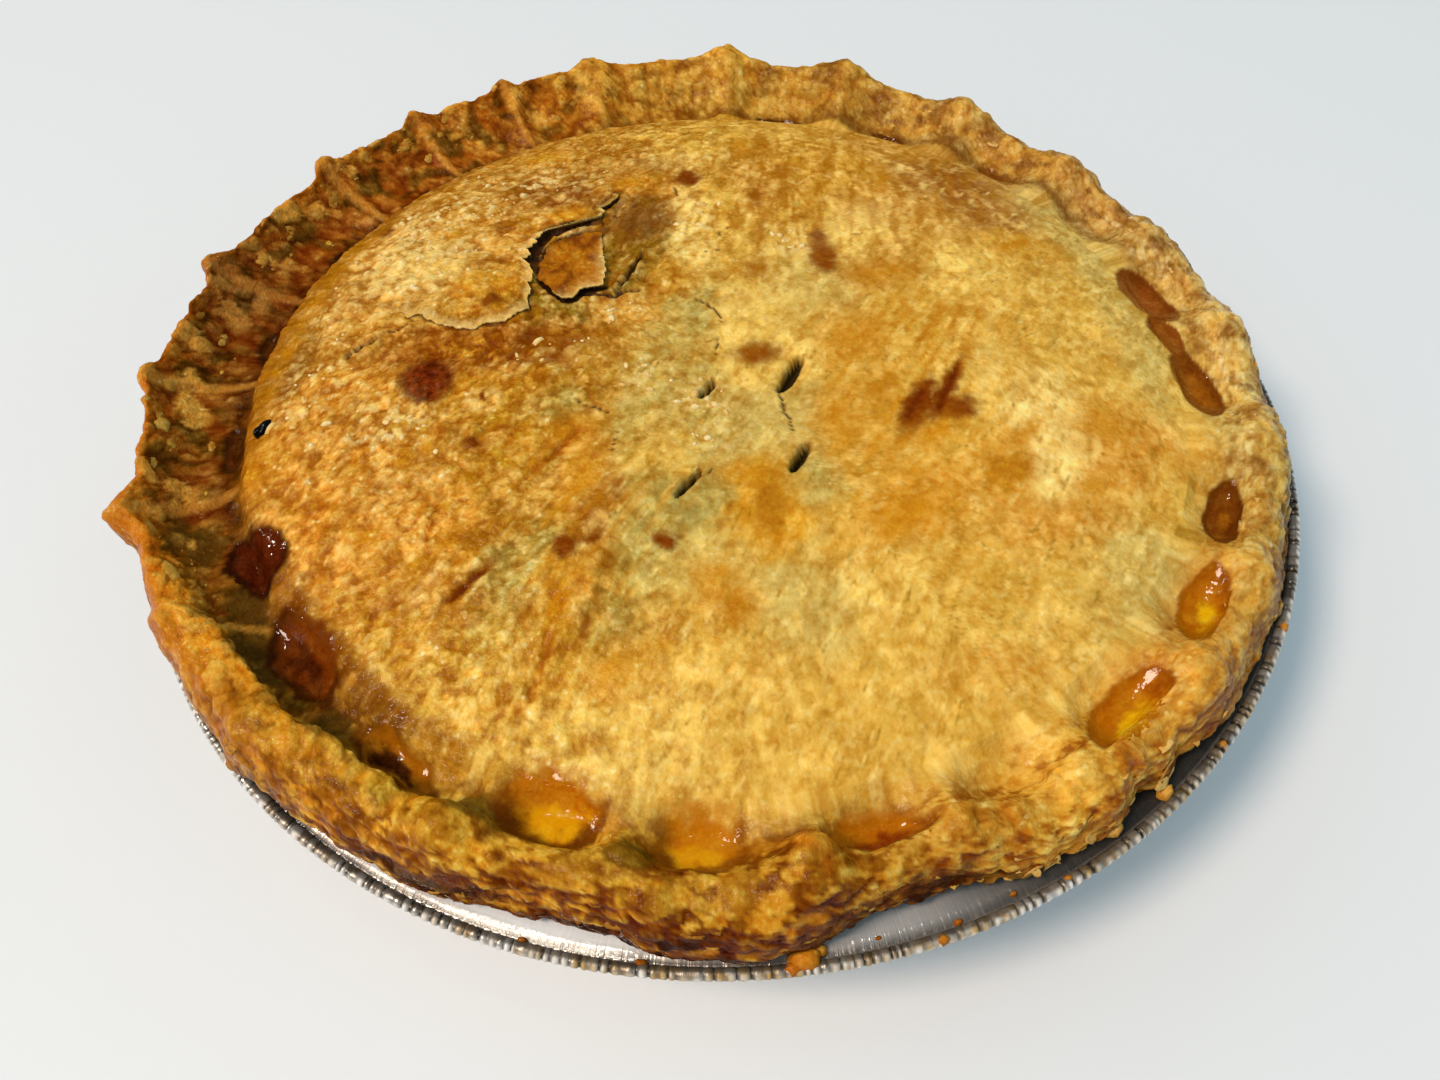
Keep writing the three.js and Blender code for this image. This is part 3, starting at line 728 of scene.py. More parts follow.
# how the bake changes over the lid: middle, sizes, turn, colour, how much it holds there
ZONES = [
    # upper left: pale and crumbly, amber towards the edge
    (-72, 42, 8, 21, 32, FROST, 1.3), (-60, 34, 7, 8, 0, FROST, 1.0), (-88, 32, 6, 20, 14, TAN, 1.2), (-92, 6, 6, 12, 0, BARK, 0.7),
    (-60, 63, 13, 8, 15, TAN, 1.2), (-41, 58, 11, 8, 0, PLUM, 1.0), (-45, 45, 6, 6, 0, MARMALADE, 1.0), (-74, 8, 12, 6, 0, WHEAT, 1.2),
    (-82, -11, 9, 8, 0, PEACH, 1.2), (-70, -18, 9, 6, 0, WHEAT, 1.1), (-90, 56, 6, 8, 0, BARK, 0.8), (-52, 50, 7, 8, 0, WHEAT, 0.9),
    (-30, 70, 14, 8, 0, TAN, 1.1), (-84, 18, 6, 6, 0, FROST, 0.8), (-66, 22, 6, 5, 0, FROST, 0.9),
    # around the break
    (-52, 21, 9, 8, 0, HONEY, 4.0), (-52, 4, 14, 5.0, -3, AMBER, 7.0), (-36, 4.5, 8, 5.5, 6, AMBER, 3.4), (-31, 12, 4, 4, 0, OLIVE, 1.2),
    (-19, 33, 5, 10, -10, OLIVE, 4.0), (-19, 45, 7, 6, 0, UMBER, 7.0), (-38.4, 15.6, 3.4, 5.6, 0, OLIVE, 8.0), (-45, -9, 11, 6, 0, GOLD, 1.3),
    (-27, -3, 9, 7, 0, HONEY, 1.2), (-20, 10, 6, 5, 0, WHEAT, 1.0), (-11, -4, 7, 9, 0, LICHEN, 1.1), (-5, 41, 4, 12, 0, CREAM, 1.3),
    (-8, 25, 6, 6, 0, GOLD, 1.1), (-4, 14, 4, 6, 0, SAGE, 1.1), (-16, 60, 8, 7, 0, TAN, 1.0), (-32, -14, 6, 4, 20, SAGE, 1.0),
    # lower left: golden, orange in streaks, green-grey towards the vents
    (-73, -29, 11, 11, 0, PEACH, 1.2), (-58, -25, 5, 10, -10, MARMALADE, 1.0), (-46, -21, 8, 7, 0, HONEY, 1.2), (-27, -26, 4.4, 11, -8, ORANGE, 1.4),
    (-38, -33, 8, 8, 0, HONEY, 1.2), (-51, -43, 8, 8, 0, ORANGE, 0.9), (-66, -48, 12, 10, 0, PEACH, 1.2), (-39, -56, 5, 10, -22, SAGE, 1.1),
    (-30, -60, 5, 12, -18, HONEY, 1.4), (-24, -42, 3, 8, -6, AMBER, 1.0), (-15, -47, 6, 8, 0, SAGE, 1.3), (-8, -40, 6, 5, 0, SAGE, 1.5),
    (-20, -66, 5, 5, 0, SAGE, 1.0), (-5, -54, 8, 8, 0, LICHEN, 1.1), (-60, -65, 12, 9, 0, GOLD, 1.2), (-45, -75, 12, 9, 15, STRAW, 1.2),
    (-25, -86, 13, 8, 10, BUTTER, 3.0), (0, -77, 12, 10, 0, STRAW, 1.2), (-20, -22, 6, 6, 0, LICHEN, 1.1), (-64, -34, 6, 5, 0, FROST, 0.8),
    (-56, -56, 6, 5, 0, FROST, 0.7), (-33, -78, 8, 6, 0, GOLD, 0.9), (-13, -70, 8, 5, 0, GOLD, 0.9), (-12, -28, 6, 5, 0, STRAW, 0.9),
    # upper right: butter yellow in the middle, streaky gold at the back
    (11, 10, 11, 13, 0, BUTTER, 1.2), (1, 47, 5, 12, 0, STRAW, 1.1), (12, 60, 9, 13, 0, TAN, 1.0), (28, 67, 12, 12, 0, GOLD, 1.1),
    (39, 25, 9, 6, 10, TAN, 1.0), (45, 50, 13, 11, 0, WHEAT, 1.1), (60, 60, 12, 9.5, -32, PLUM, 4.5), (75, 56, 5, 11, 20, LICHEN, 0.9),
    (70, 35, 8, 5, 10, GOLD, 1.0), (51, 10, 12, 13, 0, STRAW, 1.1), (71, 9, 13, 18, 0, STRAW, 1.2), (83, 42, 4, 11, 12, LICHEN, 1.0),
    (89, 14, 4, 18, 4, LICHEN, 1.4), (20, 17, 7, 9, 0, LICHEN, 1.0), (26, 4, 6, 6, 0, ORANGE, 0.7), (34, 38, 8, 6, 30, BUTTER, 0.9),
    (22, 46, 7, 6, 0, STRAW, 0.9), (-2, 82, 14, 8, 0, STRAW, 1.4), (58, 26, 8, 7, 0, BUTTER, 0.8), (45, 78, 12, 6, -20, TAN, 1.0),
    # lower right: even pale gold, with orange strokes and one cream patch
    (8.4, -41, 4.6, 9.5, -8, srgb(222, 156, 24), 2.6), (16, -25, 4, 10, 0, LICHEN, 1.2), (27, -21, 6, 12, -20, GOLD, 1.1), (38, -42, 10, 5, 30, ORANGE, 1.1),
    (57, -30, 4, 6, -30, ORANGE, 1.4), (65.5, -22.5, 4.6, 10, -8, CREAM, 4.0), (79, -26, 9, 8, 0, PEACH, 0.9), (50, -62, 20, 12, 0, STRAW, 1.2),
    (13, -62, 9, 8, 20, LICHEN, 1.5), (1, -63, 4, 4, 0, ORANGE, 0.9), (35, -85, 20, 8, 0, STRAW, 1.2), (76, -58, 7, 11, -35, LICHEN, 1.1),
    (87, -38, 5, 8, 0, STRAW, 1.0), (60, -46, 11, 5, 10, PEACH, 0.9), (18, -86, 12, 7, 0, STRAW, 1.0), (30, -60, 8, 6, 20, BUTTER, 0.8),
    (46, -75, 9, 4, 10, PEACH, 0.8), (3, -22, 8, 7, 0, LICHEN, 1.3), (15, -34, 5, 5, 0, SAGE, 0.8), (22, -53, 8, 4, 30, GOLD, 0.7),
]
# browned and pale places on the lid: middle, sizes, turn, amount, edge
SPOTS = [
    (8.0, -1.4, 5.0, 3.0, 0, 0.30, 1.4), (8.6, -42.0, 3.6, 8.5, -8, 0.22, 1.3), (4.6, -33.0, 6, 4, 0, 0.12, 1),
    (39.4, -17.4, 8.0, 2.6, 64, 0.50, 1.7), (46.0, -12.6, 10.0, 1.6, 63, 0.48, 1.5), (47.0, -18.0, 4.4, 3.0, 30, 0.38, 1.4),
    (33.0, -12.0, 4.0, 2.2, 30, 0.20, 1), (43.0, -24.0, 5.0, 2.4, 55, 0.16, 1), (34.4, -28.0, 6.0, 1.4, 62, 0.18, 1),
    (30.0, -27.0, 5.0, 1.2, 62, 0.16, 1), (40.0, -26.0, 3, 1.6, 60, 0.14, 1),
    (56.0, -32.6, 4.6, 3.4, 20, 0.20, 1.5), (60.0, -24.0, 6.0, 2.0, 52, 0.14, 1.2),
    (36.0, -43.0, 8.0, 3.6, 40, 0.14, 1), (30.0, -46.0, 4, 3, 0, 0.12, 1), (23.0, -20.0, 5.0, 7.0, -20, 0.08, 1),
    (71.0, -36.0, 6.0, 2.6, 10, 0.08, 1), (76.0, -20.0, 9, 6, 0, 0.05, 1), (1.4, -64.0, 3.0, 3.4, 0, 0.20, 1.3),
    (-2.0, -57.0, 5, 4, 0, 0.10, 1), (24.2, 28.8, 3.4, 6.0, 0, 0.315, 1.9), (23.6, 36.0, 2.0, 2.8, 0, 0.34, 1.4),
    (15.0, 61.4, 2.6, 2.2, 0, 0.24, 1.2), (12.6, 78.0, 3.0, 7.0, 5, 0.22, 1.2), (7.0, 77.0, 2.2, 5.0, 0, 0.16, 1),
    (28.0, 67.0, 2.0, 8.0, -8, 0.22, 1.2), (10.0, 52.4, 1.8, 4.0, 0, 0.28, 1.2), (16.6, 54.0, 1.6, 4.2, -8, 0.24, 1.2),
    (20.0, 44.0, 3.4, 1.8, 30, 0.24, 1.2), (69.0, 36.6, 6.4, 2.0, 30, 0.16, 1.1), (38.0, 23.0, 7.0, 3.4, 10, 0.16, 1),
    (9.0, 25.0, 3.0, 3.6, -30, 0.24, 1.2), (40.6, 60.0, 1.8, 7.0, -10, 0.18, 1), (43.0, 2.0, 8.0, 1.1, 64, 0.20, 1.1),
    (51.0, 8.0, 7.0, 1.0, 66, 0.20, 1.1), (47.0, 9.0, 6.0, 0.9, 66, 0.18, 1.1), (56.0, 10.0, 6.0, 0.9, 68, 0.18, 1.1),
    (39.0, 10.0, 6, 1.0, 68, 0.18, 1), (44.0, -4.0, 7, 0.9, 64, 0.18, 1.1), (52.0, -2.0, 6, 0.8, 64, 0.16, 1.1),
    (30.0, 2.0, 6.0, 5.0, 20, 0.10, 1), (-6.0, 61.0, 3.4, 2.8, 0, 0.40, 1.5), (-33.0, 46.6, 6.0, 3.0, 12, 0.14, 1),
    (-79.0, 51.0, 3.2, 3.4, 30, 0.36, 1.5), (-85.0, 46.0, 5.0, 3.0, 40, 0.18, 1),
    (-49.0, 17.4, 2.6, 2.0, 0, 0.36, 1.3), (-55.0, 22.0, 3.0, 5.0, 0, 0.10, 1.2), (-46.0, 23.0, 3.0, 3.0, 0, 0.08, 1),
    (-60.0, 42.0, 5.0, 3.6, 20, 0.14, 1), (-41.0, 76.0, 7.0, 4.0, 0, 0.10, 1),
    (-40.0, 5.0, 2.4, 4.0, -30, 0.34, 1.4), (-35.0, 4.0, 5.0, 2.6, 10, 0.26, 1.2), (-49.0, -24.6, 1.6, 1.6, 0, 0.40, 1.5),
    (-52.4, -21.4, 1.6, 1.0, 20, 0.28, 1.3), (-47.6, -12.4, 0.9, 1.5, 0, 0.40, 1.5),
    (-48.2, -33.0, 2.0, 2.2, 0, 0.22, 1.2), (-42.0, -40.0, 2.4, 1.8, 20, 0.28, 1.3), (-45.4, -47.0, 3.6, 2.0, 10, 0.26, 1.2),
    (-46.6, -56.4, 6.4, 1.1, 42, 0.32, 1.3), (-48.4, -61.6, 3.0, 1.4, 10, 0.24, 1.2), (-29.2, -49.6, 2.5, 2.4, 0, 0.44, 1.6),
    (-24.4, -48.0, 2.2, 1.1, 15, 0.36, 1.3), (-11.0, -49.4, 2.2, 2.0, 0, 0.40, 1.5), (-23.0, -39.4, 2.4, 2.2, 0, 0.24, 1.2),
    (-26.4, -33.0, 3.0, 7.0, -14, 0.16, 1.1), (-36.0, -45.6, 1.5, 1.2, 0, 0.24, 1.2), (-30.0, -62.0, 2.2, 7.0, -20, 0.16, 1),
    (-57.0, -52.0, 3.0, 1.4, 40, 0.18, 1.1), (-94.0, -23.0, 7.0, 6.0, 60, 0.18, 1.1), (-67.0, -45.0, 2.4, 2.0, 0, 0.16, 1.2),
    (-62.0, -28.0, 2.0, 1.8, 0, 0.14, 1.2), (-57.6, -25.0, 1.6, 3.0, 0, 0.16, 1.2), (-20.0, -75.0, 6, 5, 0, 0.08, 1),
    (-24, 6, 3.4, 2.0, 20, 0.24, 1.2), (-30, -22, 4, 3, 30, 0.18, 1.1), (-24, -27, 3, 2, 0, 0.22, 1.2), (-20, 60, 5, 3, 10, 0.14, 1),
    (55.6, -6.0, 3.0, 9.0, -20, -0.08, 1.2), (6.0, 14.0, 8.0, 4.0, 20, -0.08, 1.2), (-24.0, -96.0, 12, 6, 15, -0.06, 1),
    (-66.0, 33.0, 9.0, 6.0, 20, -0.10, 1), (-60, 28, 7, 4, 10, -0.10, 1), (34, 44, 10, 5, 40, -0.10, 1), (-10, 70, 9, 4, 0, -0.10, 1),
]
# clusters of pale crisp grains on the lid
GRAINS = [(-22, 13, 7, 4), (-15, -7, 6, 5), (-3, -14, 6, 5), (-2, -24, 5, 4), (17, 33, 5, 5), (-4, 44, 5, 8), (-38, 2, 8, 3),
          (-70, 34, 16, 14), (-84, -4, 8, 14), (-62, 52, 16, 9), (-40, 62, 14, 8), (-66, -18, 10, 8)]


def swept(x, y, long, wide, which, deg=58):
    """Noise drawn out along the direction in which the crust was brushed."""
    a = math.radians(deg)
    q = np.stack([(x * math.cos(a) + y * math.sin(a)) / long, (-x * math.sin(a) + y * math.cos(a)) / wide,
                  np.full_like(x, 1.7 * which)], 1)
    return fbm(warp(q, 1.0, 0.35, which + 2), which, 3)


def over(col, new, amount):
    """One colour laid over another; amount is a number for each point."""
    return col + (np.asarray(new) - col) * np.clip(amount, 0, 1)[:, None]


def amber_edge(x, y, deg, r):
    """Where the egg wash ran down over the lid's left edge, 0 to 1."""
    reach = around(deg, {0: 106, 60: 105, 90: 101.5, 118: 97.5, 135: 95.0, 160: 92.4, 180: 92.2, 188: 95.5, 194: 98.5, 202: 97.0, 207: 94.6, 214: 94.2,
                         226: 94.0, 240: 97.0, 256: 99, 268: 101, 285: 103, 300: 106})
    p = np.stack([x, y, np.zeros_like(x)], 1)
    reach = reach + 2.2 * fbm(p / 7, 4, 3) + 1.2 * fbm(p / 2.2, 7, 2)
    return smooth(-2.4, 2.4, r - reach) * mix(0.55, 1.0, smooth(-0.22, 0.18, fbm(warp(p, 4, 2, 3) / 3.6, 9, 2)))


def lid_colour(x, y, m, pools=True):
    p = np.stack([x, y, np.zeros_like(x)], 1)
    r, deg = np.hypot(x, y), np.degrees(np.arctan2(y, x))
    rough = m["rough"]
    wx = x + 4.4 * fbm(p / 11, 1, 3) + 1.3 * FIELDS[2](p / 2.6)
    wy = y + 4.4 * fbm(p / 11 + 40, 5, 3) + 1.3 * FIELDS[4](p / 2.6)
    col = 0.03 * mix(STRAW[None], WHEAT[None], rough[:, None])
    held = np.full(len(x), 0.03)
    for cx, cy, rx, ry, turn, c, amount in ZONES:
        g = amount * blot(wx, wy, cx, cy, rx, ry, turn) ** 1.25
        col = col + g[:, None] * c[None]
        held = held + g
    col = col / held[:, None]
    mid = fbm(warp(p, 6, 3.4, 7) / 5.6, 8, 3)
    low = fbm(warp(p, 3, 1.7, 1) / 3.0, 2, 3)
    fine = fbm(warp(p, 2, 0.9, 6) / 1.5, 10, 2)
    back = blot(x, y, 24, 58, 44, 34)
    green = blot(x, y, 2, -38, 20, 32)
    # flakes, each with a tone of its own; drawn out towards the back
    drawn = np.stack([x, y * mix(1.0, 0.55, back), np.zeros_like(x)], 1)
    pale = mix(mix(CREAM[None], FROST[None], rough[:, None]), LICHEN[None] * 1.12, (0.7 * green)[:, None])
    deep = mix(mix(GOLD[None], MARMALADE[None], rough[:, None]), HONEY[None], (0.6 * green)[:, None])
    much = 0.50 + 0.38 * rough + 0.25 * back
    for size, which, strength in ((6.5, 3, 0.75), (3.3, 9, 1.0), (1.7, 10, 0.75)):
        d1, d2, who = FIELDS[which].cells(warp(drawn, size * 1.3, 0.65 * size, which - 2) / size)
        body = smooth(0.0, 0.16, d2 - d1) * much * strength
        col = over(col, mix(col * 1.26, pale, 0.4), 1.05 * body * smooth(0.58, 0.98, who))
        col = over(col, mix(col * np.array([0.78, 0.62, 0.34]), deep, 0.35), 1.05 * body * smooth(0.40, 0.02, who))
        # darker borders between the small flakes: partly browning, partly painted shade in the cracks between them
        if size < 5:
            col = over(col, col * np.array([0.80, 0.64, 0.34]), 0.40 * rough * (1 - smooth(0.02, 0.26, d2 - d1)))
    col = over(col, mix(col * np.array([0.82, 0.68, 0.42]), deep, 0.4), much * 0.75 * smooth(0.08, 0.26, -mid))
    col = over(col, mix(col * 1.18, pale, 0.4), much * 0.65 * smooth(0.10, 0.28, mid))
    col = over(col, AMBER, (0.14 + 0.26 * rough + 0.26 * back) * smooth(0.16, 0.36, -low))
    # strokes of the brush
    s1, s2 = swept(x, y, 17, 2.0, 7), swept(x, y, 8, 1.0, 4)
    here = 0.16 + 0.60 * blot(x, y, 42, -10, 24, 32) + 0.40 * blot(x, y, -38, -42, 30, 30) + 0.12 * blot(x, y, 40, -60, 40, 26)
    col = over(col, ORANGE, here * 0.95 * smooth(0.12, 0.30, s1) + here * 0.55 * smooth(0.18, 0.36, s2))
    col = over(col, CREAM, here * 0.45 * smooth(0.14, 0.5, -s1))
    s5, s6 = swept(x, y, 4.2, 1.0, 11, 66), swept(x, y, 5.0, 1.5, 2, 58)
    dash = (1 - 0.55 * rough) * (0.45 + 0.55 * smooth(-0.25, 0.35, fbm(p / 9, 6, 2)))
    col = over(col, srgb(170, 124, 30), 0.75 * dash * smooth(0.20, 0.46, s5))
    col = over(col, srgb(240, 204, 120), 0.55 * dash * smooth(0.16, 0.44, s6))
    s3 = swept(x, y, 12, 2.2, 9, 84)
    col = over(col, MARMALADE, back * 0.95 * smooth(0.10, 0.26, s3))
    # little drips towards the near edge
    s4 = fbm(np.stack([np.radians(deg) * 40, r / 13, np.zeros_like(r)], 1), 6, 3)
    near = smooth(-50, -80, y) * smooth(99, 92, r)
    col = over(col, BUTTER * 1.06, near * 0.6 * smooth(0.08, 0.42, s4))
    sx, sy = wander(x, y, 1.1, 0.5, 1)
    stained = np.zeros(len(x))
    for cx, cy, rx, ry, turn, amount, hard in SPOTS:
        g = blot(sx, sy, cx, cy, rx, ry, turn, hard)
        if amount > 0:
            hue = mix(ORANGE, RUST, float(smooth(0.12, 0.38, np.array(amount))))
            col = over(col, hue, g * (0.50 + 2.2 * amount) * (1.0 + 0.4 * low))
            stained = np.maximum(stained, np.clip(2.6 * amount * g, 0, 1))
        else:
            col = over(col, CREAM, -3.5 * amount * g)
    red = blot(sx, sy, -59.8, -6.2, 6.0, 6.8, 0, 4.0)
    col = over(col, SEAR * (1 + 1.2 * np.clip(fine, -0.5, 1))[:, None], red * 0.97)
    stained = np.clip(np.maximum(stained, np.maximum(0.9 * red, 0.7 * m["sunk"])), 0, 1)
    rough_ = rough * (1 - 0.7 * stained)
    # flakes stay pale on top and brown in the gaps between them, and darker in the creases: partly the bake, partly
    # painted shade in the gaps and creases
    g = 1 - rough_ * (0.20 * (m["lump"] - 0.4) * (0.3 + m["number"]) - 0.18 * m["crumb"] + 0.14 * (m["lump2"] - 0.4))
    g = g + 0.9 * m["crease"] - 0.20 * fine
    col = np.clip(col, 1e-4, 1) ** np.clip(g, 0.5, 2.2)[:, None]
    moist = np.maximum(blot(sx, sy, -52, 3.4, 15, 4.8, -3, 1.6), blot(sx, sy, -36, 4.6, 8, 5, 6, 1.6))
    moist = moist * (1 - red)
    col = over(col, srgb(128, 72, 14) * (1 + 0.5 * low)[:, None], 0.7 * blot(sx, sy, -18, 43, 6.0, 7.0, -20, 1.8))
    col = over(col, col * np.array([0.90, 0.76, 0.22]), moist)
    stained = np.maximum(stained, 0.8 * moist)
    ring = np.hypot(sx + 47.6, sy + 12.6)
    col = over(col, FROST, 0.65 * np.exp(-(((ring - 3.0) / 0.7) ** 2)) * smooth(-0.4, 0.3, low))
    crisp = np.zeros(len(x))
    for cx, cy, rx, ry in GRAINS:
        crisp = np.maximum(crisp, blot(x, y, cx, cy, rx, ry))
    crisp = crisp * smooth(0.45, 0.75, m["number2"]) * smooth(0.25, 0.6, m["lump2"])
    amber = amber_edge(x, y, deg, r)
    col = over(col, srgb(240, 204, 134), 0.62 * crisp * (1 - amber) * (1 - 0.8 * stained))
    # pale line where the top layer is torn
    col = over(col, srgb(238, 198, 118), 0.8 * m["torn"])
    col = mix(np.array([1.11, 1.16, 1.22])[None], np.array([1.07, 1.18, 1.12])[None], rough[:, None]) * np.clip(col, 1e-4, 1) ** 1.12
    # the wash that ran over the edge
    runs = fbm(np.stack([np.radians(deg) * 70, r / 14, np.zeros_like(r)], 1), 3, 3)
    dark = around(deg, {0: 0.3, 90: 0.35, 120: 0.35, 150: 0.22, 185: 0.22, 196: 0.4, 206: 0.70, 213: 0.85, 224: 0.80, 236: 0.62, 246: 0.45, 254: 0.35, 280: 0.35})
    dark = np.clip(dark + 0.55 * runs + 0.30 * smooth(94, 97, r), 0, 1)
    wash = mix(srgb(200, 128, 12)[None], srgb(118, 56, 2)[None], dark[:, None])
    col = over(col, wash, amber * 0.92)
    wet, stain, damp = pool_stain(x, y)
    damp = damp * float(pools)
    col = over(col, stain, damp)
    # painted shade: the cracks, the shadow under the torn edge and the hollow under the loose plate are laid in dark
    # brown
    gap_shade = np.clip(np.maximum(smooth(0.22, 0.60, m["gap"]), np.maximum(m["under"], smooth(0.30, 0.75, m["well"]))), 0, 1)
    col = over(col, PAINTED_GAP_SHADE * (1 + 0.8 * np.clip(low, -0.5, 1))[:, None], gap_shade * 0.96)
    # the vent slits are darkened: partly the filling's colour, partly painted shade inside them
    col = over(col, srgb(58, 42, 12), smooth(0.12, 0.6, m["vent"]))
    gloss = 0.40 + 0.12 * rough + 0.22 * blot(x, y, -50, -62, 34, 26) + 0.14 * blot(x, y, 10, -70, 50, 26) + 0.2 * blot(x, y, 42, -16, 12, 12)
    gloss = gloss + 0.2 * blot(x, y, -40, 0, 26, 16)
    gloss = np.maximum(gloss + 0.10 * mid, np.maximum(0.84 * amber, 0.92 * damp))
    gloss = gloss * (1 - 0.9 * gap_shade) * (1 - 0.7 * m["vent"])
    col = col * np.array([0.965, 0.99, 0.98])[None] * (1 - 0.07 * smooth(52, 30, np.hypot(x, y)))[:, None]
    col = np.clip(stronger(col, x, y, 0.28), 1e-4, 1)
    return col, np.clip(gloss, 0, 1), rough * (1 - 0.35 * amber), (1 - 0.45 * amber) * (1 - 0.85 * damp)


# colour of the rim around the pie, by angle: the wall above the hollows, the crest, the outer face
RIM_INNER = {0: (222, 170, 88), 45: (218, 166, 84), 75: (214, 157, 67), 95: (176, 119, 37), 120: (192, 124, 40), 150: (163, 101, 32),
             180: (152, 96, 33), 205: (138, 92, 32), 222: (108, 74, 24), 238: (126, 86, 28), 252: (176, 122, 38), 268: (186, 126, 38),
             285: (180, 116, 32), 298: (222, 170, 82), 320: (220, 168, 82), 340: (218, 164, 80)}
RIM_CREST = {0: (232, 182, 98), 45: (224, 172, 90), 75: (223, 169, 78), 95: (200, 142, 53), 120: (182, 118, 32), 150: (172, 110, 28),
             180: (178, 113, 29), 200: (206, 138, 40), 217: (226, 164, 60), 235: (214, 152, 50), 252: (176, 120, 32),
             268: (170, 114, 30), 285: (186, 128, 40), 298: (208, 160, 78), 320: (226, 178, 90), 340: (228, 178, 92)}
RIM_FACE = {0: (170, 126, 50), 45: (158, 104, 36), 90: (160, 106, 34), 150: (160, 106, 34), 180: (168, 112, 36), 205: (196, 136, 40),
            240: (182, 124, 34), 262: (168, 112, 28), 276: (164, 108, 28), 288: (194, 140, 52), 300: (208, 160, 74), 320: (178, 134, 60),
            340: (138, 102, 36)}


# darker, greener places where the wall folds in, partly the crust's own colour and partly painted shade of the shadowed
# valley: angle, radius, half length around, half width outwards, colour, how much
RIM_STAINS_AND_SHADE = [(200.4, 109.6, 6.4, 5.2, (92, 66, 20), 0.85), (210.4, 104.4, 5.6, 4.2, (88, 64, 22), 0.85), (215.8, 106.6, 5.2, 4.0, (84, 60, 20), 0.85),
              (219.6, 106.0, 5.0, 3.6, (78, 54, 18), 0.85), (229.2, 105.8, 5.4, 4.0, (92, 66, 24), 0.8), (246.6, 105.8, 4.2, 3.2, (112, 84, 30), 0.75),
              (249.8, 107.2, 3.0, 2.0, (92, 58, 16), 0.6), (261.1, 108.1, 3.6, 2.6, (120, 88, 24), 0.65)]


def ring_colour(deg, table):
    lin = {k: srgb(*v) for k, v in table.items()}
    return np.clip(np.stack([around(deg, {k: v[c] for k, v in lin.items()}) for c in range(3)], 1), 1e-4, 1)


RIM_PALE = {0: (242, 202, 122), 45: (236, 188, 104), 90: (222, 170, 80), 130: (202, 148, 62), 180: (204, 150, 62), 215: (222, 168, 72), 250: (226, 178, 90),
            275: (222, 172, 86), 292: (222, 178, 97), 320: (242, 204, 124), 340: (242, 202, 122)}
RIM_DEEP = {0: (164, 104, 36), 45: (144, 86, 26), 90: (146, 84, 16), 130: (84, 46, 8), 180: (78, 44, 8), 215: (116, 66, 10), 250: (142, 84, 12),
            275: (136, 78, 12), 292: (178, 116, 36), 320: (168, 110, 38), 340: (164, 106, 36)}
# how much darker and browner the bake is around the rim: red, green, blue
RIM_TUNE = {0: (0.83, 0.84, 0.84), 30: (0.73, 0.71, 0.71), 45: (0.72, 0.65, 0.48), 60: (0.77, 0.78, 0.73), 75: (0.72, 0.68, 0.48), 90: (1.04, 1.15, 1.14),
            105: (1.03, 1.12, 1.08), 120: (0.98, 1.0, 1.0), 150: (0.97, 0.95, 1.0), 165: (0.70, 0.61, 0.74), 180: (1.0, 1.0, 1.0), 195: (0.87, 0.81, 0.77),
            210: (0.91, 0.90, 0.78), 225: (0.80, 0.77, 0.58), 240: (0.98, 0.98, 0.72), 255: (0.91, 0.84, 0.47), 270: (0.90, 0.83, 0.47),
            285: (0.81, 0.72, 0.45), 300: (0.99, 0.85, 0.47), 315: (0.92, 0.71, 0.40), 330: (0.84, 0.69, 0.42), 345: (0.77, 0.78, 0.70)}


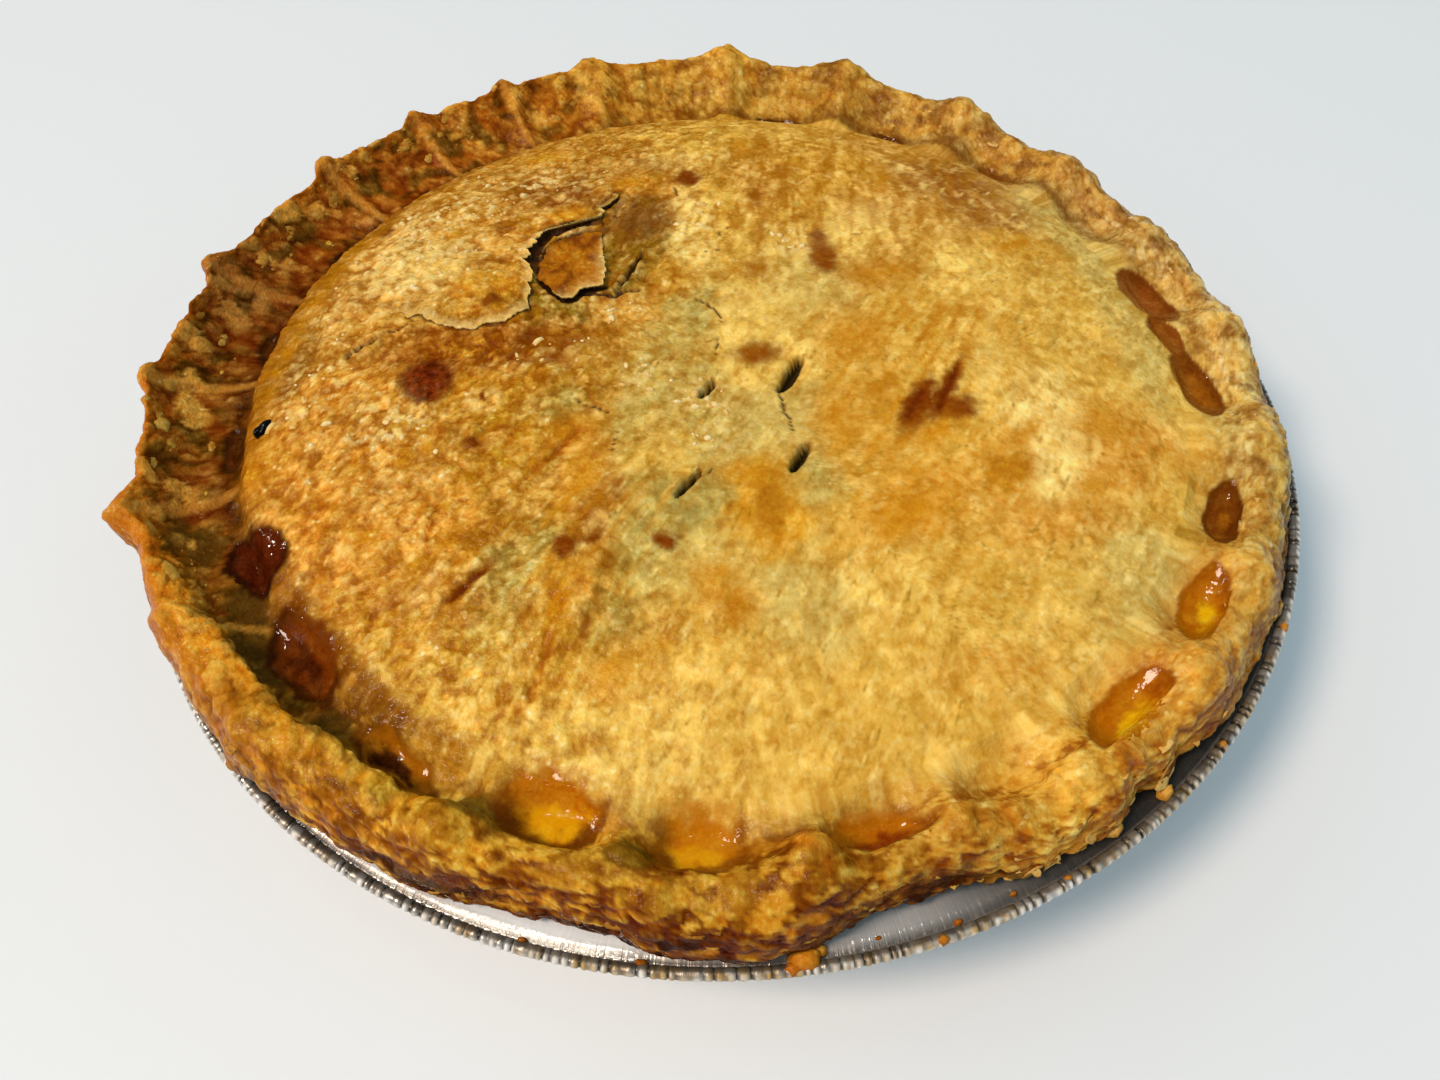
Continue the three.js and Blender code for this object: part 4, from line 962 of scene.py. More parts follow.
def rim_colour(P, info):
    deg, row, far, front, face = info["deg"], info["row"], info["far"], info["front"], info["face"]
    n = len(deg)
    big = fbm(warp(P, 9, 4, 2) / 9, 2, 3)
    mid = fbm(warp(P, 5, 2.6, 5) / 4.6, 6, 3)
    fine = fbm(warp(P, 2, 1.0, 8) / 1.6, 9, 2)
    cx, cy = 112 * np.cos(np.radians(deg)), 112 * np.sin(np.radians(deg))
    down = row * 3.0
    edge_ = row + 0.9 * mid + 0.8 * big + 4.4 - around(deg, {0: 4.4, 120: 4.4, 180: 4.4, 192: 4.2, 198: 3.8, 206: 3.4, 218: 3.2, 235: 3.3, 250: 3.8, 280: 4.2})
    col = ring_colour(deg, RIM_INNER)
    col = over(col, ring_colour(deg, RIM_CREST), np.maximum(smooth(4.0, 4.9, edge_), 0.7 * (1 - 0.85 * far) * ridge(deg) * smooth(2.2, 3.2, row)))
    col = over(col, ring_colour(deg, RIM_FACE), smooth(5.9, 7.0, edge_))
    pale, deep = ring_colour(deg, RIM_PALE), ring_colour(deg, RIM_DEEP)
    # flakes, each with a tone of its own
    for size, which, strength in ((6.0, 3, 0.55), (3.2, 9, 0.75), (1.7, 10, 0.65)):
        d1, d2, who = FIELDS[which].cells(warp(P, size * 1.3, 0.65 * size, which - 2) / size)
        body = strength * smooth(0.0, 0.30, d2 - d1) * (1 - 0.3 * far)
        col = over(col, pale, 0.60 * body * smooth(0.60, 0.98, who))
        col = over(col, deep, 0.55 * body * smooth(0.36, 0.02, who))
    col = over(col, pale, 0.26 * smooth(0.10, 0.45, big) + 0.22 * smooth(0.14, 0.48, mid))
    col = over(col, deep, 0.30 * smooth(0.08, 0.45, -big) + 0.24 * smooth(0.14, 0.48, -mid))
    # thin layers lying along the near face
    lay1 = fbm(np.stack([cx / 10, cy / 10, down / 1.8 + 1.4 * big], 1), 4, 3)
    lay2 = fbm(np.stack([cx / 5.5, cy / 5.5, down / 0.9 + 0.8 * mid], 1), 7, 2)
    near = face * front
    col = over(col, pale, near * (0.50 * smooth(0.05, 0.18, lay1) + 0.30 * smooth(0.10, 0.26, lay2)))
    col = over(col, deep, near * (0.65 * smooth(0.04, 0.16, -lay1) + 0.45 * smooth(0.10, 0.26, -lay2)))
    drawn = np.stack([np.radians(np.mod(deg, 360)) * 112 * 0.5, down + 0.8 * mid, np.zeros(n)], 1)
    for size, which, strength in ((2.8, 4, 0.9), (1.5, 6, 0.8)):
        d1, d2, who = FIELDS[which].cells(warp(drawn, size * 1.3, 0.6 * size, which + 1) / size)
        body = np.maximum(front**2, 0.7 * (1 - far) * (1 - front)) * strength * smooth(0.0, 0.12, d2 - d1)
        col = over(col, pale, body * smooth(0.66, 0.92, who))
        col = over(col, deep, body * smooth(0.34, 0.06, who))
    for at, row0, size, _, tint, amount in KNOBS:
        col = over(col, srgb(*tint)[None] * (1 + 0.35 * fine + 0.25 * mid)[:, None], amount * knob_reach(deg + 1.4 * mid, row + 0.5 * fine, at, row0, size))
    # brushed strokes on the low right side
    stroke = fbm(np.stack([cx / 2.0, cy / 2.0, down / 9], 1), 8, 3)
    col = over(col, srgb(190, 124, 44), (1 - np.maximum(far, front)) * 0.55 * smooth(0.08, 0.40, stroke))
    # olive and red-brown patches of the thin inner wall, and painted shade in the crevice along the lid
    patch = fbm(warp(P, 6, 3, 9) / 6.5, 5, 2)
    inner = far * smooth(1.4, 2.2, row) * smooth(5.4, 4.6, row) * smooth(5.0, 4.2, edge_)
    col = over(col, srgb(96, 72, 18), 0.70 * inner * smooth(0.06, 0.26, patch))
    col = over(col, srgb(140, 70, 16), 0.60 * inner * smooth(0.08, 0.30, -patch))
    col = over(col, srgb(78, 32, 8), far * 0.85 * np.exp(-(((row - 1.9 + 0.3 * mid) / 0.45) ** 2)))
    # painted shade: a brown line in the valley where the lid meets the rim at the back right
    valley_shade_line = around(deg, {0: 0, 15: 0, 24: 0.6, 40: 1, 62: 1, 84: 0.7, 104: 0, 330: 0})
    col = over(col, srgb(142, 88, 32), 0.75 * valley_shade_line * np.exp(-(((row - 1.9 + 0.4 * mid) / 0.45) ** 2)))
    # lumps stay pale on top and go darker in the creases and the splits between layers: partly the bake, partly painted
    # shade
    lumpy = np.maximum(far, 0.15 * front)
    g = 1 - mix(0.24, 0.34, lumpy) * (info["lump"] * (0.3 + info["number"]) - 0.4) - 0.18 * (info["lump2"] - 0.4) - 0.22 * fine
    g = g + mix(0.16, 0.26, lumpy) * info["crease"] + 0.16 * info["crease2"]
    g = g - face * mix(0.12, 0.40, front) * (info["leaf"] - 0.5) + face * mix(0.15, 0.50, front) * info["split"]
    col = np.clip(col, 1e-4, 1) ** np.clip(g, 0.5, 2.4)[:, None]
    # the ragged lower edge: burnt brown, and made darker near 285 degrees as a painted shadow under the rim's break
    burnt_and_shadow = around(deg, {0: 0.10, 60: 0.2, 180: 0.3, 215: 0.5, 232: 0.8, 248: 1.0, 262: 1.0, 275: 1.0, 284: 1.0, 289: 0.85, 295: 0.45, 300: 0.25, 312: 0.55, 325: 0.3})
    line = row + 1.2 * mid + 0.5 * fine + 0.9 * lay1
    lay3 = fbm(np.stack([cx / 14, cy / 14, down / 2.6 + 1.3 * big], 1), 9, 3)
    col = over(col, srgb(104, 48, 6), burnt_and_shadow * 0.92 * np.maximum(smooth(7.9, 8.5, line), smooth(0.00, 0.10, lay3) * smooth(6.6, 7.3, line)))
    col = over(col, srgb(56, 24, 4), burnt_and_shadow * 0.90 * np.maximum(smooth(8.9, 9.5, line), smooth(0.10, 0.20, lay3) * smooth(7.2, 7.8, line)))
    # pale crisp flakes left on the dark side
    crisp = far * smooth(0.70, 0.76, info["number"]) * smooth(0.35, 0.62, info["lump"]) * smooth(2.4, 3.2, row)
    col = over(col, srgb(204, 154, 66) * (0.75 + 0.5 * info["lump2"])[:, None], 0.75 * crisp)
    col = over(col, srgb(196, 126, 34), 0.65 * far * smooth(4.9, 5.6, row + 0.8 * mid) * smooth(7.4, 6.4, row + 0.8 * mid))
    # darker, greener places where the wall folds in: partly the crust's own colour, partly painted shade
    away = np.hypot(P[:, 0], P[:, 1])
    for at, r0, half_t, half_r, tint, amount in RIM_STAINS_AND_SHADE:
        f = np.hypot(turn_gap(deg, at) * 1.9 / half_t, (away - r0) / half_r) + 0.5 * mid + 0.2 * fine
        col = over(col, srgb(*tint)[None] * (1 + 0.4 * fine)[:, None], amount * smooth(1.15, 0.75, f) * smooth(6.0, 5.2, row) * (1 - 0.7 * crisp))
    # thin pale folds along the pinched ridges
    fold = far * smooth(0.975, 0.998, ridge(deg - around(deg, SLANT) * (np.hypot(P[:, 0], P[:, 1]) - 112))) * smooth(1.2, 2.2, row) * smooth(6.6, 5.6, row)
    col = over(col, srgb(200, 146, 64), 0.60 * fold)
    grade = mix(np.array([1.06, 1.17, 1.22])[None], np.array([1.04, 1.05, 0.78])[None], (smooth(0.35, 0.9, front) * np.clip(around(deg, {0: 0, 200: 0.6, 225: 1, 278: 1, 292: 0.2, 302: 0, 330: 0}), 0, 1))[:, None])
    col = mix(grade, np.array([1.15, 1.03, 0.80])[None], far[:, None]) * np.clip(col, 1e-4, 1) ** 1.10
    tune = np.stack([around(deg, {k: v[c] for k, v in RIM_TUNE.items()}) for c in range(3)], 1)
    col = col * np.clip(tune, 0.4, 1.25)
    uneven = np.clip(around(deg, {0: 1, 60: 1, 120: 1, 150: 0.4, 180: 0.2, 230: 0.6, 250: 0.4, 270: 0, 290: 0.4, 315: 0.2, 330: 0.2, 345: 0.6}), 0, 1)
    col = np.clip(stronger(col, P[:, 0], P[:, 1], 0.32 * uneven), 1e-4, 1)
    # egg wash in the hollows
    damp = info["damp"]
    col = over(col, info["stain"], damp)
    gloss = np.maximum(0.40 + 0.22 * far * (1 - crisp) + 0.15 * info["hollow"] + 0.15 * front + 0.10 * mid, 0.92 * damp)
    rough = np.clip(0.42 + 0.4 * np.maximum(far, 0.35 * front), 0, 1)
    return col, np.clip(gloss, 0, 1), rough, (1 - 0.5 * info["hollow"]) * (1 - 0.8 * damp)


# ------------------------------------------------------------------ mesh helpers
def make_mesh(name, verts_mm, faces, smooth_faces=True):
    me = bpy.data.meshes.new(name)
    v = np.asarray(verts_mm, np.float64) * MM
    f = np.asarray(faces, np.int32)
    me.vertices.add(len(v))
    me.vertices.foreach_set("co", v.astype(np.float32).ravel())
    me.loops.add(f.size)
    me.loops.foreach_set("vertex_index", f.ravel())
    me.polygons.add(len(f))
    k = f.shape[1]
    me.polygons.foreach_set("loop_start", np.arange(0, f.size, k, dtype=np.int32))
    me.polygons.foreach_set("loop_total", np.full(len(f), k, np.int32))
    me.polygons.foreach_set("use_smooth", np.full(len(f), smooth_faces))
    me.update(calc_edges=True)
    me.validate()
    ob = bpy.data.objects.new(name, me)
    scene.collection.objects.link(ob)
    return ob


def paint(ob, name, rgb):
    n = len(ob.data.vertices)
    data = np.ones((n, 4), np.float32)
    data[:, :3] = np.clip(rgb, 0, None)
    layer = ob.data.attributes.new(name, "FLOAT_COLOR", "POINT")
    layer.data.foreach_set("color", data.ravel())


def unwrap(ob, uv, hidden, small):
    """Lay the mesh out flat; faces that never show take the second, small map."""
    me = ob.data
    idx = np.empty(len(me.loops), np.int32)
    me.loops.foreach_get("vertex_index", idx)
    out = np.where(np.repeat(hidden, 3)[:, None], small[idx], uv[idx])
    layer = me.uv_layers.new(name="OFBake")
    layer.data.foreach_set("uv", out.astype(np.float32).ravel())


# ------------------------------------------------------------------ materials
class Nodes:
    def __init__(self, name):
        self.mat = bpy.data.materials.new(name)
        self.mat.use_nodes = True
        self.tree = self.mat.node_tree
        self.shader = self.tree.nodes["Principled BSDF"]

    def add(self, kind, **inputs):
        n = self.tree.nodes.new(kind)
        for k, v in inputs.items():
            if k in n.inputs:
                self.feed(n.inputs[k], v)
            else:
                setattr(n, k, v)
        return n

    def feed(self, socket, v):
        if isinstance(v, bpy.types.NodeSocket):
            self.tree.links.new(v, socket)
        else:
            socket.default_value = v

    def math(self, op, a, b=None, clamp=False):
        n = self.tree.nodes.new("ShaderNodeMath")
        n.operation = op
        n.use_clamp = clamp
        self.feed(n.inputs[0], a)
        if b is not None:
            self.feed(n.inputs[1], b)
        return n.outputs[0]

    def span(self, v, a, b, c, d):
        n = self.tree.nodes.new("ShaderNodeMapRange")
        self.feed(n.inputs[0], v)
        for i, w in enumerate((a, b, c, d)):
            self.feed(n.inputs[i + 1], w)
        return n.outputs[0]

    def noise(self, vec, scale, detail=2.0, rough=0.5, twist=0.0):
        n = self.tree.nodes.new("ShaderNodeTexNoise")
        self.feed(n.inputs["Vector"], vec)
        n.inputs["Scale"].default_value = scale
        n.inputs["Detail"].default_value = detail
        n.inputs["Roughness"].default_value = rough
        n.inputs["Distortion"].default_value = twist
        return n.outputs["Fac"]

    def cell(self, vec, scale, feature="F1"):
        n = self.tree.nodes.new("ShaderNodeTexVoronoi")
        n.feature = feature
        self.feed(n.inputs["Vector"], vec)
        n.inputs["Scale"].default_value = scale
        return n.outputs["Distance"]

    def mixc(self, fac, a, b, mode="MIX"):
        n = self.tree.nodes.new("ShaderNodeMix")
        n.data_type = "RGBA"
        n.blend_type = mode
        self.feed(n.inputs[0], fac)
        self.feed(n.inputs[6], a)
        self.feed(n.inputs[7], b)
        return n.outputs[2]


def crust_material():
    m = Nodes("baked_crust")
    where = m.tree.nodes.new("ShaderNodeTexCoord").outputs["Object"]
    tone = m.add("ShaderNodeAttribute", attribute_name="tone").outputs["Color"]
    marks = m.add("ShaderNodeAttribute", attribute_name="marks").outputs["Color"]
    sep = m.add("ShaderNodeSeparateColor")
    m.feed(sep.inputs[0], marks)
    grain, gloss, relief = sep.outputs[0], sep.outputs[1], sep.outputs[2]
    mid = m.noise(where, 560, 1, 0.5)
    fine = m.noise(where, 1500, 1, 0.6)
    hue = m.add("ShaderNodeSeparateColor")
    m.feed(hue.inputs[0], tone)
    pale = m.span(hue.outputs[1], 0.05, 0.28, 0.35, 1.0)
    strength = m.math("MULTIPLY", m.span(grain, 0.0, 1.0, 0.40, 0.66), pale)
    g = m.math("ADD", m.math("SUBTRACT", 0.5, mid), m.math("SUBTRACT", 0.5, fine))
    g = m.math("ADD", 1.0, m.math("MULTIPLY", g, strength))
    # single pale grains: partly pale crumbs of the crust, partly painted glints
    grit_and_glint = m.tree.nodes.new("ShaderNodeTexVoronoi")
    m.feed(grit_and_glint.inputs["Vector"], where)
    grit_and_glint.inputs["Scale"].default_value = 820
    pick = m.add("ShaderNodeSeparateColor")
    m.feed(pick.inputs[0], grit_and_glint.outputs["Color"])
    grain_ = m.math("MULTIPLY", m.span(pick.outputs[0], 0.74, 0.90, 0.0, 1.0), m.span(grit_and_glint.outputs["Distance"], 0.52, 0.20, 0.0, 1.0))
    g = m.math("SUBTRACT", g, m.math("MULTIPLY", m.math("MULTIPLY", grain_, pale), m.span(grain, 0.0, 1.0, 0.16, 0.46)))
    gam = m.tree.nodes.new("ShaderNodeGamma")
    m.feed(gam.inputs[0], tone)
    m.feed(gam.inputs[1], m.math("MAXIMUM", g, 0.35))
    m.feed(m.shader.inputs["Base Color"], gam.outputs[0])
    rough = m.span(gloss, 0.0, 1.0, 0.42, 0.045)
    m.feed(m.shader.inputs["Roughness"], rough)
    h = m.math("ADD", m.math("MULTIPLY", mid, 0.55), m.math("MULTIPLY", fine, 0.32))
    h = m.math("MULTIPLY", h, m.span(grain, 0.0, 1.0, 0.50, 1.15))
    bump = m.tree.nodes.new("ShaderNodeBump")
    bump.inputs["Strength"].default_value = 1.0
    bump.inputs["Distance"].default_value = 0.0008
    m.feed(bump.inputs["Height"], m.math("MULTIPLY", h, relief))
    m.feed(m.shader.inputs["Normal"], bump.outputs[0])
    m.shader.inputs["Specular IOR Level"].default_value = 0.12
    m.feed(m.shader.inputs["Specular IOR Level"], m.span(gloss, 0.76, 0.92, 0.10, 0.30))
    m.shader.inputs["IOR"].default_value = 1.45
    return m.mat


def glaze_material():
    m = Nodes("egg_wash")
    where = m.tree.nodes.new("ShaderNodeTexCoord").outputs["Object"]
    tone = m.add("ShaderNodeAttribute", attribute_name="tone").outputs["Color"]
    cloud = m.noise(where, 260, 3, 0.6)
    speck = m.noise(where, 1700, 2, 0.5)
    g = m.math("ADD", 1.0, m.math("MULTIPLY", m.math("SUBTRACT", 0.5, cloud), 0.9))
    g = m.math("ADD", g, m.math("MULTIPLY", m.math("SUBTRACT", 0.5, speck), 0.35))
    gam = m.tree.nodes.new("ShaderNodeGamma")
    m.feed(gam.inputs[0], tone)
    m.feed(gam.inputs[1], g)
    m.feed(m.shader.inputs["Base Color"], gam.outputs[0])
    m.feed(m.shader.inputs["Roughness"], m.span(speck, 0.3, 0.7, 0.05, 0.12))
    bump = m.tree.nodes.new("ShaderNodeBump")
    bump.inputs["Strength"].default_value = 1.0
    bump.inputs["Distance"].default_value = 0.00022
    m.feed(bump.inputs["Height"], m.math("ADD", m.noise(where, 520, 1, 0.5), m.math("MULTIPLY", m.noise(where, 1100, 1, 0.5), 0.45)))
    m.feed(m.shader.inputs["Normal"], bump.outputs[0])
    m.shader.inputs["IOR"].default_value = 1.45
    m.shader.inputs["Specular IOR Level"].default_value = 0.35
    return m.mat


def foil_material():
    m = Nodes("pressed_foil")
    where = m.tree.nodes.new("ShaderNodeTexCoord").outputs["Object"]
    tone = m.add("ShaderNodeAttribute", attribute_name="tone").outputs["Color"]
    sep = m.add("ShaderNodeSeparateColor")
    m.feed(sep.inputs[0], tone)
    stain = m.math("MULTIPLY", sep.outputs[0], m.span(m.noise(where, 420, 3, 0.6), 0.36, 0.56, 0.42, 1.0), clamp=True)
    scuff = m.noise(where, 160, 4, 0.6)
    col = m.mixc(m.span(scuff, 0.3, 0.7, 0.0, 1.0), (0.80, 0.80, 0.79, 1), (0.90, 0.90, 0.89, 1))
    # the second channel paints a white reflection on the near flange and highlights on single ribs
    col = m.mixc(sep.outputs[1], col, (1.0, 1.0, 0.99, 1))
    col = m.mixc(stain, col, (0.52, 0.32, 0.10, 1))
    # the third channel paints shade and a dark reflection: the grooves, the bead's top and inner side, and the flange
    # under the rim
    col = m.mixc(sep.outputs[2], col, (0.034, 0.024, 0.012, 1))
    m.feed(m.shader.inputs["Base Color"], col)
    m.feed(m.shader.inputs["Metallic"], m.math("SUBTRACT", m.span(stain, 0.0, 1.0, 0.80, 0.30), m.math("MULTIPLY", sep.outputs[1], 0.8), clamp=True))
    rough = m.math("ADD", m.span(scuff, 0.3, 0.7, 0.16, 0.30), m.math("MULTIPLY", stain, 0.25))
    m.feed(m.shader.inputs["Roughness"], rough)
    # fine drawn lines run outwards from the middle
    sx = m.add("ShaderNodeSeparateXYZ")
    m.feed(sx.inputs[0], where)
    ang = m.math("ARCTAN2", sx.outputs[1], sx.outputs[0])
    comb = m.tree.nodes.new("ShaderNodeCombineXYZ")
    m.feed(comb.inputs[0], m.math("MULTIPLY", ang, 110.0))
    m.feed(comb.inputs[1], m.math("MULTIPLY", sx.outputs[2], 40.0))
    lines = m.noise(comb.outputs[0], 1.0, 3, 0.6)
    bump = m.tree.nodes.new("ShaderNodeBump")
    bump.inputs["Strength"].default_value = 0.6
    bump.inputs["Distance"].default_value = 0.0003
    m.feed(bump.inputs["Height"], m.math("ADD", lines, m.math("MULTIPLY", m.noise(where, 900, 2, 0.5), 0.3)))
    m.feed(m.shader.inputs["Normal"], bump.outputs[0])
    return m.mat


def plain(name, colour, rough):
    m = Nodes(name)
    m.shader.inputs["Base Color"].default_value = (*colour, 1)
    m.shader.inputs["Roughness"].default_value = rough
    return m.mat


# ------------------------------------------------------------------ build: crust
CRUST = crust_material()
lid_v, lid_f, n_lid, marks, rim_v, rim_f, n_rim, info, n_rows = build_crust()
lid_look = lid_colour(lid_v[:n_lid, 0], lid_v[:n_lid, 1], marks)
rim_part = slice(COLS, COLS + n_rim)
rim_look = rim_colour(rim_v[rim_part], info)
# the lid's colour runs out over its edge into the hollows
edge_pts = slice(n_lid - COLS, n_lid)
dry = lid_colour(lid_v[edge_pts, 0], lid_v[edge_pts, 1], {k: v[edge_pts] for k, v in marks.items()}, pools=False)
seam_cols = np.tile(np.arange(COLS), n_rows)
blend = smooth(2.4, 0.2, info["row"] + 0.5 * fbm(rim_v[rim_part] / 4, 3, 2))


def spread(values, count, start, rest):
    """Values for every corner of a mesh, plain outside the worked part."""
    out = np.tile(np.asarray(rest, float), (count,) + (1,) * (values.ndim - 1)) if values.ndim == 2 else np.full(count, float(rest))
    out[start: start + len(values)] = values
    return out


def corner_normals(verts, tris, hidden):
    """Normals at the corners, from the faces that show."""
    t = tris[~hidden]
    fn = np.cross(verts[t[:, 1]] - verts[t[:, 0]], verts[t[:, 2]] - verts[t[:, 0]])
    out = np.zeros_like(verts)
    for c in range(3):
        np.add.at(out, t[:, c], fn)
    return out


def finish_crust(name, verts, tris, look, start, uv, hidden, small, normals):
    ob = make_mesh(name, verts, tris)
    length = np.linalg.norm(normals, axis=1, keepdims=True)
    normals = np.where(length > 1e-9, normals / np.maximum(length, 1e-9), np.array([[0, 0, -1.0]]))
    ob.data.normals_split_custom_set_from_vertices([tuple(n) for n in normals])
    n = len(verts)
    tone_, gloss_, grain_, relief_ = (spread(v, n, start, r) for v, r in zip(look, (srgb(196, 140, 66), 0.2, 0.3, 1.0)))
    paint(ob, "tone", tone_)
    paint(ob, "marks", np.stack([grain_, gloss_, relief_], 1))
    ob.data.materials.append(CRUST)
    unwrap(ob, uv, hidden, small)
    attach(ob, "root")
    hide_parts("pie")
    return ob


# maps: the lid lies flat; the rim is laid out as a ring, with the plain underside inside it
span = 2.06 * (SEAM_R + 3)
uv = 0.5 + lid_v[:, :2] / span
lid_hidden = np.arange(len(lid_f)) >= len(lid_f) - 3 * COLS
lid_small = 0.02 + 0.018 * lid_v[:, :2] / SEAM_R
lid_uv = uv
ang = np.arctan2(rim_v[:, 1], rim_v[:, 0])
lay = np.zeros(len(rim_v))
lay[:COLS] = SEAM_R
lay[rim_part] = SEAM_R + info["row"] * 6.2
for k in range(4):
    lay[COLS + n_rim + k * COLS: COLS + n_rim + (k + 1) * COLS] = SEAM_R + 11 * 6.2 + 3.0 * (k + 1)
span = 2.02 * (SEAM_R + 11 * 6.2 + 14)
uv = 0.5 + np.stack([lay * np.cos(ang), lay * np.sin(ang)], 1) / span
rim_hidden = np.zeros(len(rim_f), bool)
rim_hidden[: 2 * COLS] = True
rim_hidden[-2 * COLS:] = True
rim_uv2 = 0.5 + 0.8 * rim_v[:, :2] / span
rim_uv2[COLS * (1 + n_rows + 4) + 1:] = 0.02 + 0.012 * rim_v[COLS * (1 + n_rows + 4) + 1:, :2] / SEAM_R
rim_uv2[:COLS] = 0.02 + 0.016 * rim_v[:COLS, :2] / SEAM_R
both = [np.array(rim_look[k]) for k in range(4)]
for k in range(4):
    b_ = blend[:, None] if both[k].ndim == 2 else blend
    both[k] = mix(both[k], dry[k][seam_cols], b_)
    if k == 0:
        both[k] = over(both[k], info["stain"], info["damp"])
    if k == 1:
        both[k] = np.maximum(both[k], 0.92 * info["damp"])
    both[k] = np.concatenate([lid_look[k][n_lid - COLS: n_lid], both[k]])
# the two share their normals along the seam
lid_n = corner_normals(lid_v, lid_f, lid_hidden)
rim_n = corner_normals(rim_v, rim_f, np.arange(len(rim_f)) < 2 * COLS)
shared = lid_n[n_lid - COLS: n_lid] + rim_n[:COLS]
lid_n[n_lid - COLS: n_lid] = shared
rim_n[:COLS] = shared
lid = finish_crust("pie_lid", lid_v, lid_f, lid_look, 0, lid_uv, lid_hidden, lid_small, lid_n)
rim = finish_crust("pie_rim", rim_v, rim_f, both, 0, uv, rim_hidden, rim_uv2, rim_n)

skin_v = np.concatenate([lid_v[:n_lid], rim_v[: COLS + n_rim]])
skin_f = np.concatenate([lid_f[: len(lid_f) - 3 * COLS], rim_f[2 * COLS: 2 * COLS + 2 * COLS * n_rows] + n_lid])
tree = BVHTree.FromPolygons([Vector(v) for v in skin_v], [tuple(int(i) for i in t) for t in skin_f], all_triangles=True)


def drop(x, y, z0=90.0):
    hit, normal, _, _ = tree.ray_cast(Vector((x, y, z0)), Vector((0, 0, -1)))
    return (None, None) if hit is None else (hit, normal)


# ------------------------------------------------------------------ build: egg wash
def build_pools():
    allv, allf, is_top, base = [], [], [], 0
    rings, spokes = 11, 56
    for k, (deg, r, half_t, half_r, turn, _, _, _, fade) in enumerate(POOLS):
        a = math.radians(deg)
        (ux, uy), (vx, vy) = pool_axes(deg, turn)
        cx, cy = r * math.cos(a), r * math.sin(a)
        top, low, shade = [], [], []
        ang_ = np.arange(spokes) * 2 * math.pi / spokes
        q = np.stack([np.cos(ang_) * 1.4 + 7 * k, np.sin(ang_) * 1.4, np.full(spokes, 0.4)], 1)
        wob = 0.92 + (0.44 * fbm(q * 1.3, 2, 3) + 0.18 * fbm(q * 4, 5, 2)) * (1.0 if fade > 0 else 0.3)
        for i in range(rings + 1):
            f = i / rings
            for s in range(1 if i == 0 else spokes):
                e = f * wob[s] * (1 - 0.30 * fade * max(0.0, -math.sin(ang_[s])))
                px = cx + ux * math.cos(ang_[s]) * half_t * e + vx * math.sin(ang_[s]) * half_r * e
                py = cy + uy * math.cos(ang_[s]) * half_t * e + vy * math.sin(ang_[s]) * half_r * e
                hit, _ = drop(px, py)
                low.append((px, py, hit.z if hit else HOLLOW_Z))
                shade.append(f)
        low, shade = np.array(low), np.array(shade)
        # the liquid levels itself in the hollow and thins to a film up its sides
        brim = low[(shade > 0.70) & (shade < 0.92), 2]
        level = np.percentile(brim, 12)
        film = low[:, 2] + 0.07 * (1 - shade**4) - 0.25 * shade**8
        top = low.copy()
        top[:, 2] = np.where(shade < 0.90, np.maximum(level, film), film)
        low[:, 2] -= 0.5
        n = len(top)
        faces = []
        for s in range(spokes):
            s1 = (s + 1) % spokes
            faces.append((0, 1 + s, 1 + s1))
            for i in range(1, rings):
                p0, p1 = 1 + (i - 1) * spokes, 1 + i * spokes
                faces.append((p0 + s, p1 + s, p1 + s1))
                faces.append((p0 + s, p1 + s1, p0 + s1))
            e = 1 + (rings - 1) * spokes
            faces.append((e + s, n + e + s, n + e + s1))
            faces.append((e + s, n + e + s1, e + s1))
            faces.append((n, n + 1 + s1, n + 1 + s))
            for i in range(1, rings):
                p0, p1 = n + 1 + (i - 1) * spokes, n + 1 + i * spokes
                faces.append((p0 + s, p1 + s1, p1 + s))
                faces.append((p0 + s, p0 + s1, p1 + s1))
        allv += [top, low]
        allf.append(np.array(faces) + base)
        is_top.append((np.array(faces) < n).all(1))
        base += 2 * n
    v = np.concatenate(allv)
    _, c, _ = pool_stain(v[:, 0], v[:, 1])
    f = np.concatenate(allf)
    return v, f, c, np.concatenate(is_top)


pv, pf_, pc, pf_top = build_pools()
pools = make_mesh("egg_wash_pools", pv, pf_)
up_n = corner_normals(pv, pf_, ~pf_top)
up_n = np.where(np.linalg.norm(up_n, axis=1, keepdims=True) > 1e-9, up_n, np.array([[0, 0, -1.0]]))
pools.data.normals_split_custom_set_from_vertices([tuple(n / np.linalg.norm(n)) for n in up_n])
paint(pools, "tone", pc)
pools.data.materials.append(glaze_material())
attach(pools, "root")


